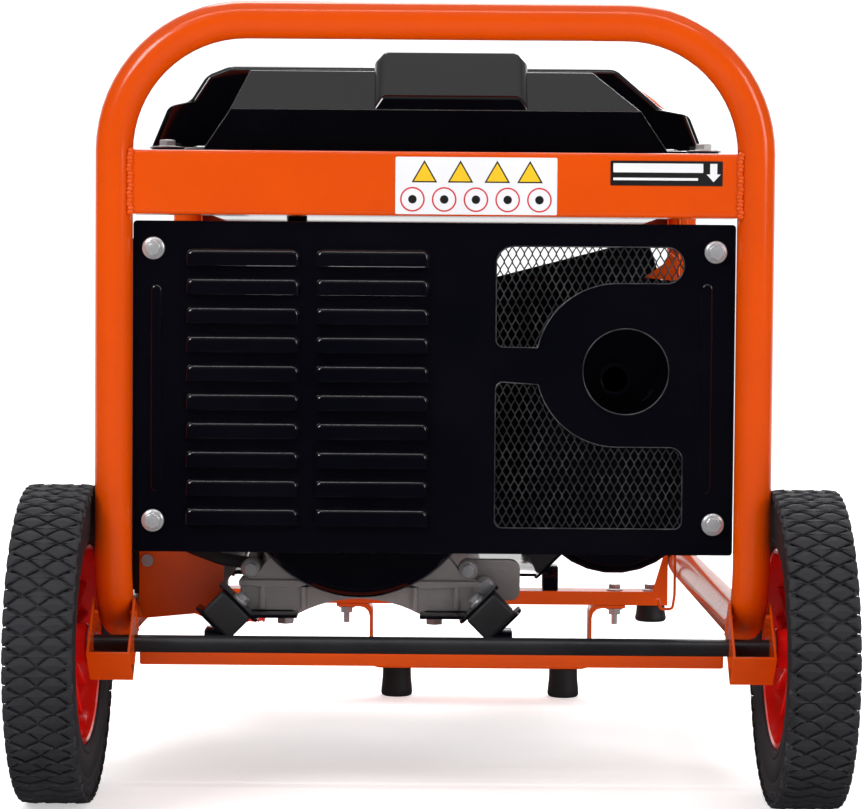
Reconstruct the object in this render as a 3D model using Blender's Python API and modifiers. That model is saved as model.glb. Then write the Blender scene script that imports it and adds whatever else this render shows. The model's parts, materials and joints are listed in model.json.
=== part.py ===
"""Portable generator on a wheeled tube frame, at rest. Metres, +Z up.

+X is the right side seen from the wheel end, +Y runs from the wheel end to the engine end.
The origin is under the middle of the machine, on the floor.
"""

import math

import bmesh
import bpy
from mathutils import Vector

# ---------------------------------------------------------------- driving dimensions
gap = 0.0003  # left between two pieces that touch

frame_length = 0.600  # from the wheel-end hoop to the engine-end hoop
frame_half_width = 0.256  # centreline of a leg
frame_top = 0.627  # centreline of a hoop's top tube
tube_radius = 0.015
bend_radius = 0.105
elbow_radius = 0.060
rail_height = 0.140  # centreline of the base rails

wheel_radius = 0.127
tyre_width = 0.052
tyre_seat_radius = 0.0815
wheel_to_leg = 0.0015
axle_radius = 0.007
axle_setback = 0.005  # axle behind the hoop's plane
axle_clearance = 0.0004
hub_radius = 0.016

sheet = 0.002  # frame sheet steel
panel_sheet = 0.0015
cross_panel_height = 0.051
cross_panel_bottom = 0.472
cross_panel_depth = 0.030

end_panel_bottom = 0.202
end_panel_top = 0.467
louvre_rows = 10
louvre_pitch = 0.023
louvre_lowest = 0.2244
louvre_slot = 0.007
louvre_length = 0.090
louvre_columns = (-0.153, -0.0495)
exhaust_x = 0.1536
exhaust_z = 0.349
exhaust_hole_radius = 0.0344
window_left = 0.0495
window_right = 0.1995
window_arc_radius = 0.0655
window_arc_centre = (0.147, 0.354)
bolt_inset = 0.0162  # from the panel's edge
bolt_high = 0.445
bolt_low = 0.227
bolt_shank = 0.003

crank_x = -0.060
crank_z = 0.260
alternator_radius = 0.099
alternator_start = 0.035  # behind the wheel-end hoop
cover_length = 0.025
bracket_length = 0.040
stator_length = 0.150
stator_bore = 0.066
rotor_clearance = 0.005
shaft_radius = 0.0125
shaft_clearance = 0.001
engine_base = 0.148
crankcase_length = 0.150
cylinder_tilt = math.radians(25)
deck_distance = 0.095  # from the crank's axis to the cylinder's foot
cylinder_length = 0.090
head_length = 0.065
cylinder_half = 0.055
fin_count = 6
fin_depth = 0.009
fan_radius = 0.125
fan_length = 0.067
fan_wall = 0.003
flywheel_radius = 0.100
flywheel_length = 0.032
recoil_length = 0.050

muffler_x = 0.150
muffler_low = 0.251
muffler_high = 0.349
muffler_radius = 0.064
muffler_start = 0.048
muffler_length = 0.150
outlet_radius = 0.013
outlet_bore = 0.0105

tank_bottom = 0.478
tank_top = 0.600
tank_start = 0.022  # behind the wheel-end hoop
tank_end_gap = 0.038  # in front of the engine-end hoop
tank_rail_flange = 0.036
tank_side_clearance = 0.0047
tank_near_length = 0.078
tank_wall = 0.003
fuel_cap_radius = 0.040
fuel_cap_height = 0.027

near_rail_top = 0.120
far_rail_top = 0.110
rail_section = 0.014
rail_depth = 0.030
stand_x = 0.050  # middle of the stand
stand_half_width = 0.1135
stand_flange = 0.034
stand_foot_spread = 0.0855
foot_radius = 0.016
foot_height = 0.030
strip = 0.003

box_start = 0.092
box_length = 0.303
box_bottom = 0.157
box_top = 0.458
box_depth = 0.070
box_wall = 0.002
socket_radius = 0.026
socket_recess_radius = 0.0195
socket_recess_depth = 0.015
lid_thickness = 0.003

handle_radius = 0.011
handle_pivot_z = 0.460
handle_pivot_back = 0.034  # behind the engine-end hoop
handle_outset = 0.006  # outside the legs' centreline
handle_low = 0.080
handle_reach = 0.090
grip_radius = 0.015
grip_length = 0.058

# ---------------------------------------------------------------- places that follow
axle_z = wheel_radius
front_reach = wheel_radius - axle_setback  # wheel-end hoop to the tyres' front
back_reach = handle_pivot_back + grip_radius  # engine-end hoop to the grip's back
near_y = front_reach - (front_reach + frame_length + back_reach) / 2
far_y = near_y + frame_length
middle_y = near_y + frame_length / 2
leg_inside = frame_half_width - tube_radius - gap
bolt_x = leg_inside - bolt_inset
tank_length = frame_length - tank_start - tank_end_gap
tank_half_width = leg_inside - tank_rail_flange - tank_side_clearance
handle_x = -(frame_half_width + handle_outset)
grip_end_x = handle_x + handle_reach
crank = Vector((crank_x, 0, crank_z))
along_cylinder = Vector((math.cos(cylinder_tilt), 0, math.sin(cylinder_tilt)))
across_cylinder = Vector((-math.sin(cylinder_tilt), 0, math.cos(cylinder_tilt)))
near_rail_y = near_y + 0.047
far_rail_y = far_y - 0.040
bracket_start = alternator_start + cover_length + gap
stator_start = bracket_start + bracket_length + gap
crankcase_start = stator_start + stator_length + gap
crankcase_end = crankcase_start + crankcase_length
fan_start = crankcase_end + 0.003
flywheel_start = fan_start + 0.026
shaft_end = flywheel_start - gap
recoil_start = fan_start + fan_length + gap
recoil_face = recoil_start + recoil_length
box_outside = -frame_half_width + 0.006
panel_face = box_outside - panel_sheet - gap - sheet
wheel_inside = frame_half_width + tube_radius + wheel_to_leg
wheel_middle = wheel_inside + tyre_width / 2


# ---------------------------------------------------------------- scene and materials
def clear_scene():
    for obj in list(bpy.data.objects):
        bpy.data.objects.remove(obj, do_unlink=True)


def new_collection(name):
    collection = bpy.data.collections.new(name)
    bpy.context.scene.collection.children.link(collection)
    return collection


def new_material(name, colour, metallic, roughness):
    material = bpy.data.materials.new(name)
    material.use_nodes = True
    shader = material.node_tree.nodes["Principled BSDF"]
    shader.inputs["Base Color"].default_value = (*colour, 1)
    shader.inputs["Metallic"].default_value = metallic
    shader.inputs["Roughness"].default_value = roughness
    return material


clear_scene()
parts = new_collection("portable_generator")
cutters = new_collection("cutters")
orange = new_material("orange_paint", (0.80, 0.20, 0.015), 0.0, 0.25)
black = new_material("black_paint", (0.012, 0.012, 0.014), 0.0, 0.2)
red = new_material("red_paint", (0.70, 0.02, 0.012), 0.0, 0.3)
zinc = new_material("zinc_steel", (0.62, 0.62, 0.60), 1.0, 0.35)
casting = new_material("cast_aluminium", (0.52, 0.50, 0.48), 1.0, 0.5)
iron = new_material("cast_iron", (0.16, 0.16, 0.165), 1.0, 0.55)
steel = new_material("dark_steel", (0.10, 0.10, 0.11), 1.0, 0.4)
rubber = new_material("black_rubber", (0.02, 0.02, 0.022), 0.0, 0.8)
plastic = new_material("black_plastic", (0.02, 0.02, 0.022), 0.0, 0.5)


# ---------------------------------------------------------------- shapes
def place(obj, name, material):
    """Names an object, gives it its material and puts it with the parts."""
    obj.name = name
    obj.data.name = name
    obj.data.materials.clear()
    obj.data.materials.append(material)
    parts.objects.link(obj)
    return obj


def make_cutter(obj):
    for collection in list(obj.users_collection):
        collection.objects.unlink(obj)
    cutters.objects.link(obj)
    obj.hide_render = True
    obj.display_type = "WIRE"
    return obj


def object_from(mesh_maker, name="shape"):
    mesh = bpy.data.meshes.new(name)
    work = bmesh.new()
    mesh_maker(work)
    work.to_mesh(mesh)
    work.free()
    return bpy.data.objects.new(name, mesh)


def point_along(obj, axis):
    """Turns an object so that its own +Z lies along axis."""
    obj.rotation_euler = Vector(axis).to_track_quat("Z", "Y").to_euler()


def block(low, high, bevel=0.0):
    low, high = Vector(low), Vector(high)
    size = high - low

    def build(work):
        bmesh.ops.create_cube(work, size=1)
        bmesh.ops.scale(work, vec=size, verts=work.verts)

    obj = object_from(build)
    obj.location = (low + high) / 2
    if bevel:
        edge = obj.modifiers.new("rounded_edges", "BEVEL")
        edge.width = bevel
        edge.segments = 2
    return obj


def rod(start, axis, length, radius, sides=24):
    """A cylinder whose first end is centred on start."""

    def build(work):
        bmesh.ops.create_cone(
            work, cap_ends=True, segments=sides, radius1=radius, radius2=radius, depth=length
        )

    obj = object_from(build)
    obj.location = Vector(start) + Vector(axis).normalized() * length / 2
    point_along(obj, axis)
    for polygon in obj.data.polygons:
        polygon.use_smooth = len(polygon.vertices) == 4
    return obj


def turned(profile, origin, axis, steps=32, ring=False):
    """A profile of (radius, height) points, outer side from top to bottom, turned about axis."""

    def build(work):
        points = [work.verts.new((radius, 0, height)) for radius, height in profile]
        for first, second in zip(points, points[1:]):
            work.edges.new((first, second))
        if ring:
            work.edges.new((points[-1], points[0]))

    obj = object_from(build)
    obj.location = origin
    point_along(obj, axis)
    screw = obj.modifiers.new("turn", "SCREW")
    screw.steps = steps
    screw.render_steps = steps
    screw.use_merge_vertices = True
    screw.merge_threshold = 0.0001
    return obj


def rounded(corners, radius, steps=6):
    """The corners of an open path, each inner one replaced by an arc."""
    path = [Vector(corners[0])]
    for before, corner, after in zip(corners, corners[1:], corners[2:]):
        corner = Vector(corner)
        back = (Vector(before) - corner).normalized()
        ahead = (Vector(after) - corner).normalized()
        turn = math.pi - back.angle(ahead)
        reach = radius * math.tan(turn / 2)
        centre = corner + (back + ahead).normalized() * radius / math.cos(turn / 2)
        start = corner + back * reach - centre
        end = corner + ahead * reach - centre
        for step in range(steps + 1):
            swing = start.slerp(end, step / steps).normalized()
            path.append(centre + swing * radius)
    path.append(Vector(corners[-1]))
    return path


def tube(path, radius, resolution=4):
    curve = bpy.data.curves.new("tube", "CURVE")
    curve.dimensions = "3D"
    curve.bevel_depth = radius
    curve.bevel_resolution = resolution
    curve.use_fill_caps = True
    spline = curve.splines.new("POLY")
    spline.points.add(len(path) - 1)
    for point, place_at in zip(spline.points, path):
        point.co = (*place_at, 1)
    return bpy.data.objects.new("tube", curve)


def arc(centre, radius, start, end, steps=8):
    """Points of an arc between two angles in degrees."""
    angles = [math.radians(start + (end - start) * step / steps) for step in range(steps + 1)]
    return [
        (centre[0] + radius * math.cos(angle), centre[1] + radius * math.sin(angle))
        for angle in angles
    ]


def rectangle(left, bottom, right, top):
    return [(left, bottom), (right, bottom), (right, top), (left, top)]


def plate(outlines, axis, start, thickness):
    """Flat outlines, the first with the others as its holes, thickened from start along X, Y or Z."""
    curve = bpy.data.curves.new("plate", "CURVE")
    curve.dimensions = "2D"
    curve.fill_mode = "BOTH"
    curve.extrude = thickness / 2
    for outline in outlines:
        spline = curve.splines.new("POLY")
        spline.points.add(len(outline) - 1)
        spline.use_cyclic_u = True
        for point, (across, up) in zip(spline.points, outline):
            point.co = (across, up, 0, 1)
    obj = bpy.data.objects.new("plate", curve)
    middle = start + thickness / 2
    if axis == "X":
        obj.rotation_euler = (math.pi / 2, 0, math.pi / 2)
        obj.location = (middle, 0, 0)
    elif axis == "Y":
        obj.rotation_euler = (math.pi / 2, 0, 0)
        obj.location = (0, middle, 0)
    else:
        obj.location = (0, 0, middle)
    return obj


def as_mesh(obj):
    """A mesh object in place of a curve object."""
    parts.objects.link(obj)
    bpy.context.view_layer.update()
    graph = bpy.context.evaluated_depsgraph_get()
    mesh = bpy.data.meshes.new_from_object(obj.evaluated_get(graph))
    work = bmesh.new()
    work.from_mesh(mesh)
    bmesh.ops.remove_doubles(work, verts=work.verts, dist=0.00001)
    bmesh.ops.recalc_face_normals(work, faces=work.faces)
    work.to_mesh(mesh)
    work.free()
    solid = bpy.data.objects.new(obj.name, mesh)
    solid.matrix_world = obj.matrix_world
    bpy.data.objects.remove(obj, do_unlink=True)
    return solid


def join(target, *others):
    return combine(target, others, "UNION")


def cut(target, *others):
    return combine(target, others, "DIFFERENCE")


def combine(target, others, operation):
    for other in others:
        make_cutter(other)
        step = target.modifiers.new(operation.lower(), "BOOLEAN")
        step.operation = operation
        step.object = other
    return target


# ---------------------------------------------------------------- tube frame
def hoop(name, y, towards, handle_bracket=None):
    """One end hoop: top tube, two legs, and elbows into half of each base rail."""
    joint_y = middle_y - towards * gap / 2
    half = frame_half_width
    foot = Vector((-half, joint_y, rail_height))
    elbow = Vector((-half, y, rail_height))
    corner = Vector((-half, y, frame_top))
    left = rounded([foot, elbow, corner], elbow_radius)[:-1]
    top = rounded([elbow, corner, (half, y, frame_top)], bend_radius)[1:-1]
    left_side = left + top
    right_side = [Vector((-point.x, point.y, point.z)) for point in reversed(left_side)]
    frame = tube(left_side + right_side, tube_radius)
    if handle_bracket:
        frame = join(as_mesh(frame), *handle_bracket)
    return place(frame, name, orange)


def cross_panel(name, y, towards):
    """A channel between the legs, its open side towards the middle of the machine."""
    face = y - towards * 0.010
    back = face + towards * cross_panel_depth
    inner = face + towards * sheet
    bottom = cross_panel_bottom
    top = bottom + cross_panel_height
    outline = [
        (face, bottom),
        (back, bottom),
        (back, bottom + sheet),
        (inner, bottom + sheet),
        (inner, top - sheet),
        (back, top - sheet),
        (back, top),
        (face, top),
    ]
    panel = plate([outline], "X", -leg_inside, 2 * leg_inside)
    return place(panel, name, orange)


def tank_rail(name, side):
    """An angle from cross panel to cross panel, under the tank's flange."""
    top = cross_panel_bottom + cross_panel_height
    start = near_y - 0.010 + cross_panel_depth + gap
    outer = side * leg_inside
    inner = side * (leg_inside - tank_rail_flange)
    web = outer - side * strip
    outline = [
        (outer, top),
        (inner, top),
        (inner, top - strip),
        (web, top - strip),
        (web, top - 0.028),
        (outer, top - 0.028),
    ]
    rail = plate([outline], "Y", start, far_y + near_y - 2 * start)
    return place(rail, name, orange)


def near_base_rail():
    """The cross rail between the two axle brackets."""
    half = leg_inside - sheet - gap
    low = (-half, near_rail_y - rail_depth / 2, near_rail_top - rail_section)
    high = (half, near_rail_y + rail_depth / 2, near_rail_top)
    return place(block(low, high), "near_base_rail", orange)


def far_base_rail():
    """The cross rail at the engine end, with an upright ear inside each base rail."""
    half = leg_inside
    bottom = far_rail_top - rail_section
    ear_top = rail_height + 0.010
    outline = [
        (-half, bottom),
        (half, bottom),
        (half, ear_top),
        (half - strip, ear_top),
        (half - strip, far_rail_top),
        (strip - half, far_rail_top),
        (strip - half, ear_top),
        (-half, ear_top),
    ]
    rail = as_mesh(plate([outline], "Y", far_rail_y - rail_depth / 2, rail_depth))
    holes = [
        rod((x, far_rail_y, bottom - 0.01), (0, 0, 1), 0.04, bolt_shank + 0.0006, 16)
        for x in (stand_bolt_x(-1), stand_bolt_x(1))
    ]
    return place(cut(rail, *holes), "far_base_rail", orange)


def bracket_point(outwards, along):
    """A point of an axle bracket's side view: distance from the elbow's centre, and along it."""
    slope = math.sqrt(0.5)
    y = near_y + elbow_radius - outwards * slope + along * slope
    z = rail_height + elbow_radius - outwards * slope - along * slope
    return (y, z)


def axle_bracket(name, side):
    """A channel at 45 degrees that wraps the elbow and carries the axle."""
    web_outside = 0.120
    half_length = 0.0175
    shift = 0.005
    low, high = shift - half_length, shift + half_length
    ear_end = elbow_radius + 0.004
    outer_half = tube_radius + gap + sheet
    inner_half = tube_radius + gap
    middle = side * frame_half_width
    outline = [
        bracket_point(web_outside, low),
        bracket_point(web_outside, high),
        bracket_point(ear_end, high),
        bracket_point(ear_end, low),
    ]
    channel = as_mesh(plate([outline], "X", middle - outer_half, 2 * outer_half))
    room = [
        bracket_point(web_outside - sheet, low - 0.01),
        bracket_point(web_outside - sheet, high + 0.01),
        bracket_point(ear_end - 0.01, high + 0.01),
        bracket_point(ear_end - 0.01, low - 0.01),
    ]
    inside = as_mesh(plate([room], "X", middle - inner_half, 2 * inner_half))
    bore = rod(
        (middle - 0.03, near_y + axle_setback, axle_z),
        (1, 0, 0),
        0.06,
        axle_radius + axle_clearance,
    )
    return place(cut(channel, inside, bore), name, orange)


def axle():
    reach = wheel_middle + tyre_width / 2 - 0.004
    bar = rod((-reach, near_y + axle_setback, axle_z), (1, 0, 0), 2 * reach, axle_radius)
    return place(bar, "axle", steel)


# ---------------------------------------------------------------- wheels
def tyre(name, side):
    half = tyre_width / 2
    outer, seat = wheel_radius, tyre_seat_radius
    shoulder = 0.009
    profile = [
        (seat, half - 0.004),
        (seat + 0.010, half - 0.001),
        (outer - shoulder, half),
        (outer - 0.002, half - 0.006),
        (outer, half - 0.014),
        (outer, 0.014 - half),
        (outer - 0.002, 0.006 - half),
        (outer - shoulder, -half),
        (seat + 0.010, 0.001 - half),
        (seat, 0.004 - half),
    ]
    centre = (side * wheel_middle, near_y + axle_setback, axle_z)
    return place(turned(profile, centre, (side, 0, 0), 40, ring=True), name, rubber)


def rim(name, side):
    """Barrel, dished disc and hub; heights run outwards from the wheel's middle."""
    half = tyre_width / 2 - 0.005
    seat = tyre_seat_radius - gap
    bore = axle_radius + axle_clearance
    hub_inside = -(wheel_middle - frame_half_width - tube_radius - gap - sheet - 0.003)
    profile = [
        (seat, half),
        (seat, -half),
        (seat - 0.005, -half),
        (seat - 0.007, -0.004),
        (hub_radius + 0.004, -0.006),
        (hub_radius, -0.010),
        (hub_radius, hub_inside),
        (bore, hub_inside),
        (bore, 0.018),
        (hub_radius, 0.018),
        (hub_radius, 0.002),
        (hub_radius + 0.004, -0.002),
        (seat - 0.007, 0.000),
        (seat - 0.005, half),
    ]
    centre = (side * wheel_middle, near_y + axle_setback, axle_z)
    return place(turned(profile, centre, (side, 0, 0), 28, ring=True), name, red)


# ---------------------------------------------------------------- wheel-end panel
def upper_window():
    cx, cz = window_arc_centre
    left, right, top = window_left, window_right, 0.4485
    low = cz + window_arc_radius
    corner, large = 0.006, 0.014
    points = arc((left + corner, 0.368 + corner), corner, 270, 180, 3)
    points += arc((left + large, top - large), large, 180, 90, 4)
    points += arc((right - large, top - large), large, 90, 0, 4)
    points += arc((right - large, low + large), large, 0, -90, 4)
    points += arc((cx, cz), window_arc_radius, 90, 168, 8)
    return points


def lower_window():
    cx, cz = window_arc_centre
    left, right, bottom = window_left, window_right, 0.223
    high = cz - window_arc_radius
    corner, large = 0.006, 0.010
    points = arc((left + corner, 0.340 - corner), corner, 90, 180, 3)
    points += arc((left + corner, bottom + corner), corner, 180, 270, 3)
    points += arc((right - corner, bottom + corner), corner, 270, 360, 3)
    points += arc((right - large, high - large), large, 0, 90, 4)
    points += arc((cx, cz), window_arc_radius, 270, 194, 8)
    return points


def louvre_slots():
    slots = []
    for column in louvre_columns:
        for row in range(louvre_rows):
            lip = louvre_lowest + row * louvre_pitch
            left = column - louvre_length / 2
            slots.append(rectangle(left, lip, left + louvre_length, lip + louvre_slot))
    return slots


def bolt_places():
    """Name ending, X and Z of each of the panel's four bolts."""
    return [
        ("upper_left", -bolt_x, bolt_high),
        ("upper_right", bolt_x, bolt_high),
        ("lower_left", -bolt_x, bolt_low),
        ("lower_right", bolt_x, bolt_low),
    ]


def end_panel():
    """The louvred sheet with two windows, the exhaust hole and a return flange."""
    outer = rectangle(-leg_inside, end_panel_bottom, leg_inside - 0.002, end_panel_top)
    hole = arc((exhaust_x, exhaust_z), exhaust_hole_radius, 0, 345, 23)
    bolts = [
        arc((x, z), bolt_shank + 0.0006, 0, 330, 11) for ending, x, z in bolt_places()
    ]
    outlines = [outer, upper_window(), lower_window(), hole, *louvre_slots(), *bolts]
    sheet_face = as_mesh(plate(outlines, "Y", near_y, panel_sheet))
    inset = 0.0003
    low = (inset - leg_inside, near_y + panel_sheet / 2, end_panel_bottom + inset)
    high = (leg_inside - 0.002 - inset, near_y + 0.015, end_panel_bottom + inset + panel_sheet)
    panel = join(sheet_face, block(low, high))
    panel.modifiers["union"].solver = "MANIFOLD"  # EXACT leaves edges open on this many holes
    return place(panel, "end_panel", black)


def panel_mesh():
    """The sheet of expanded metal behind the panel's windows, as one flat sheet."""
    outer = rectangle(window_left - 0.006, 0.216, window_right + 0.006, 0.455)
    hole = arc((exhaust_x, exhaust_z), exhaust_hole_radius + 0.004, 0, 345, 23)
    grille = plate([outer, hole], "Y", near_y + panel_sheet + gap, 0.001)
    return place(grille, "panel_mesh", black)


def panel_bolt(ending, x, z):
    """A flanged hexagon bolt."""
    face = near_y - gap
    shank = rod((x, face - 0.002, z), (0, 1, 0), 0.018, bolt_shank, 16)
    flange = rod((x, face, z), (0, -1, 0), 0.002, 0.009, 24)
    head = rod((x, face - 0.001, z), (0, -1, 0), 0.007, 0.0064, 6)
    return place(join(shank, flange, head), f"panel_bolt_{ending}", zinc)


# ---------------------------------------------------------------- stand and feet
def stand_bolt_x(side):
    return stand_x + side * (stand_half_width + stand_flange - 0.010)


def stand():
    """A folded strip under the engine-end rail, with an outward flange at each top end."""
    top = far_rail_top - rail_section - gap
    half = stand_half_width
    low = foot_height
    bend = 0.010
    outside = rounded(
        [
            (stand_x - half - stand_flange, top - strip, 0),
            (stand_x - half, top - strip, 0),
            (stand_x - half, low, 0),
            (stand_x + half, low, 0),
            (stand_x + half, top - strip, 0),
            (stand_x + half + stand_flange, top - strip, 0),
        ],
        bend,
        3,
    )
    # The strip's other face is the same path, moved by its thickness.
    inside = rounded(
        [
            (stand_x + half + stand_flange, top, 0),
            (stand_x + half - strip, top, 0),
            (stand_x + half - strip, low + strip, 0),
            (stand_x - half + strip, low + strip, 0),
            (stand_x - half + strip, top, 0),
            (stand_x - half - stand_flange, top, 0),
        ],
        bend - strip,
        3,
    )
    outline = [(point.x, point.y) for point in outside + inside]
    strip_body = as_mesh(plate([outline], "Y", far_rail_y - rail_depth / 2, rail_depth))
    holes = [
        rod((stand_bolt_x(side), far_rail_y, top - 0.02), (0, 0, 1), 0.04, bolt_shank + 0.0006, 16)
        for side in (-1, 1)
    ]
    return place(cut(strip_body, *holes), "stand", orange)


def rubber_foot(name, x, top, height):
    profile = [
        (0, 0),
        (foot_radius - 0.001, 0),
        (foot_radius, -height + 0.003),
        (foot_radius - 0.002, -height),
        (0, -height),
    ]
    return place(turned(profile, (x, far_rail_y, top), (0, 0, 1), 28), name, rubber)


# ---------------------------------------------------------------- rubber engine mounts
def engine_mount(name, x, y, rail_top, lean, arm_low, arm_high):
    """A rubber block between two plates at 45 degrees, on a welded seat, with the arm it carries."""
    tilt = lean * math.radians(45)
    up = Vector((math.sin(tilt), 0, math.cos(tilt)))
    middle = Vector((x, y, engine_base - 0.001))
    half_block = 0.012
    start = middle - up * half_block
    rubber_block = rod(start, up, 2 * half_block, 0.0145, 20)
    lower_plate = block((-0.020, -0.015, -half_block - 0.003), (0.020, 0.015, 0.0005 - half_block))
    upper_plate = block((-0.020, -0.015, half_block - 0.0005), (0.020, 0.015, half_block + 0.003))
    for flat in (lower_plate, upper_plate):
        offset = flat.location.z
        flat.rotation_euler = (0, tilt, 0)
        flat.location = middle + up * offset
    foot_x = (middle - up * (half_block + 0.002)).x
    seat_top = (middle - up * half_block).z - 0.004
    seat = block((foot_x - 0.008, y - 0.013, rail_top + gap), (foot_x + 0.008, y + 0.013, seat_top))
    arm = block(arm_low, arm_high)
    return place(join(rubber_block, lower_plate, upper_plate, seat, arm), name, rubber)


def engine_mounts():
    top = engine_base - gap
    bottom = top - strip
    for side, word, far_reach in ((-1, "left", 0.148), (1, "right", 0.171)):
        x = crank_x + side * 0.108
        inner, outer = sorted((crank_x + side * 0.050, x - side * 0.010))
        low = (inner, near_rail_y - 0.014, bottom)
        high = (outer, near_rail_y + 0.036, top)
        engine_mount(f"engine_mount_near_{word}", x, near_rail_y, near_rail_top, -side, low, high)
        x = crank_x + side * far_reach
        inner, outer = sorted((crank_x + side * 0.098, x - side * 0.012))
        low = (inner, near_y + crankcase_end - 0.040, bottom)
        high = (outer, far_rail_y + 0.014, top)
        engine_mount(f"engine_mount_far_{word}", x, far_rail_y, far_rail_top, -side, low, high)


# ---------------------------------------------------------------- alternator and crank train
def on_crank(offset):
    """The point of the crank's axis that lies this far behind the wheel-end hoop."""
    return Vector((crank_x, near_y + offset, crank_z))


def alternator_cover():
    """A pressed cup that opens towards the bearing bracket."""
    radius = alternator_radius
    wall = panel_sheet
    profile = [
        (0, wall),
        (radius - 0.020, wall),
        (radius - 0.006 - wall, 0.002 + wall),
        (radius - wall, 0.009),
        (radius - wall, cover_length),
        (radius, cover_length),
        (radius, 0.008),
        (radius - 0.006, 0.002),
        (radius - 0.020, 0),
        (0, 0),
    ]
    cover = turned(profile, on_crank(alternator_start), (0, 1, 0), 40)
    return place(cover, "alternator_cover", black)


def end_bracket():
    """The cast bearing bracket with its two feet."""
    start = near_y + bracket_start
    body = rod(on_crank(bracket_start), (0, 1, 0), bracket_length, alternator_radius, 40)
    half = 0.088
    low = (crank_x - half, start + 0.004, engine_base)
    high = (crank_x + half, start + bracket_length - 0.004, engine_base + 0.022)
    feet = block(low, high)
    waist_low = (crank_x - 0.060, start + 0.006, engine_base + 0.010)
    waist_high = (crank_x + 0.060, start + bracket_length - 0.006, crank_z - 0.040)
    waist = block(waist_low, waist_high)
    bore = rod(on_crank(bracket_start - 0.01), (0, 1, 0), 0.06, 0.026, 24)
    return place(cut(join(body, feet, waist), bore), "end_bracket", casting)


def alternator_housing():
    outer = alternator_radius - 0.003
    profile = [(outer, stator_length), (outer, 0), (stator_bore, 0), (stator_bore, stator_length)]
    housing = turned(profile, on_crank(stator_start), (0, 1, 0), 36, ring=True)
    return place(housing, "alternator_housing", black)


def rotor():
    """Rotor core on the shaft that runs on through the crankcase."""
    start = bracket_start + 0.004
    core = stator_bore - rotor_clearance
    core_start = stator_start + 0.010 - start
    core_end = stator_start + stator_length - 0.010 - start
    end = shaft_end - start
    profile = [
        (0, end),
        (shaft_radius, end),
        (shaft_radius, core_end),
        (core, core_end),
        (core, core_start),
        (shaft_radius, core_start),
        (shaft_radius, 0),
        (0, 0),
    ]
    return place(turned(profile, on_crank(start), (0, 1, 0), 28), "rotor", steel)


def flywheel():
    profile = [
        (0, flywheel_length),
        (0.030, flywheel_length),
        (0.034, 0.016),
        (flywheel_radius - 0.012, 0.016),
        (flywheel_radius - 0.006, flywheel_length),
        (flywheel_radius, flywheel_length),
        (flywheel_radius, 0),
        (0, 0),
    ]
    return place(turned(profile, on_crank(flywheel_start), (0, 1, 0), 32), "flywheel", iron)


# ---------------------------------------------------------------- engine
def at_cylinder(distance, across):
    """X and Z of a point given along and across the cylinder from the crank's axis."""
    point = crank + along_cylinder * distance + across_cylinder * across
    return (point.x, point.z)


def crankcase():
    left, right = crank_x - 0.090, crank_x + 0.090
    flange = 0.015
    outline = [
        (left - flange, engine_base),
        (right + flange, engine_base),
        (right + flange, engine_base + flange),
        (right, engine_base + flange),
        at_cylinder(deck_distance, -cylinder_half),
        at_cylinder(deck_distance, cylinder_half),
        (crank_x, crank_z + 0.090),
        (crank_x - 0.060, crank_z + 0.070),
        (left, crank_z + 0.020),
        (left, engine_base + flange),
        (left - flange, engine_base + flange),
    ]
    body = as_mesh(plate([outline], "Y", near_y + crankcase_start, crankcase_length))
    boss = rod(oil_cap_place(-0.020), (1, 0, 0), 0.020, 0.016, 20)
    bore = rod(
        on_crank(crankcase_start - 0.01),
        (0, 1, 0),
        crankcase_length + 0.02,
        shaft_radius + shaft_clearance,
    )
    return place(cut(join(body, boss), bore), "crankcase", casting)


def oil_cap_place(offset):
    return Vector((crank_x + 0.104 + offset, near_y + crankcase_end - 0.045, engine_base + 0.042))


def oil_cap():
    profile = [
        (0, 0.020),
        (0.005, 0.020),
        (0.006, 0.008),
        (0.014, 0.007),
        (0.014, 0),
        (0, 0),
    ]
    return place(turned(profile, oil_cap_place(gap), (1, 0, 0), 20), "oil_cap", plastic)


def cylinder():
    """Finned barrel, its fins drawn as one comb outline."""
    start = deck_distance + gap
    pitch = cylinder_length / (fin_count * 2 - 1)
    root = cylinder_half - fin_depth
    side = []
    for fin in range(fin_count):
        near = start + 2 * fin * pitch
        far = near + pitch
        side += [(near, root), (near, cylinder_half), (far, cylinder_half), (far, root)]
    outline = [at_cylinder(distance, across) for distance, across in side]
    outline += [at_cylinder(distance, -across) for distance, across in reversed(side)]
    length = crankcase_length - 0.050
    barrel = plate([outline], "Y", near_y + crankcase_start + 0.025, length)
    return place(barrel, "cylinder", casting)


def cylinder_head():
    """Head and rocker cover."""
    start = deck_distance + cylinder_length + 2 * gap
    steps = [
        (start, cylinder_half - 0.002),
        (start + 0.040, cylinder_half - 0.002),
        (start + 0.040, cylinder_half - 0.014),
        (start + head_length - 0.006, cylinder_half - 0.014),
        (start + head_length, cylinder_half - 0.020),
    ]
    outline = [at_cylinder(distance, across) for distance, across in steps]
    outline += [at_cylinder(distance, -across) for distance, across in reversed(steps)]
    length = crankcase_length - 0.044
    head = plate([outline], "Y", near_y + crankcase_start + 0.022, length)
    return place(head, "cylinder_head", casting)


def spark_plug():
    """Plug and its boot, standing on the head's upper side."""
    distance = deck_distance + cylinder_length + 0.020
    x, z = at_cylinder(distance, cylinder_half - 0.002 + gap)
    start = (x, near_y + crankcase_start + crankcase_length / 2, z)
    profile = [
        (0, 0.042),
        (0.009, 0.042),
        (0.010, 0.020),
        (0.006, 0.019),
        (0.006, 0.008),
        (0.010, 0.007),
        (0.010, 0),
        (0, 0),
    ]
    return place(turned(profile, start, across_cylinder, 16), "spark_plug", plastic)


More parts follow.
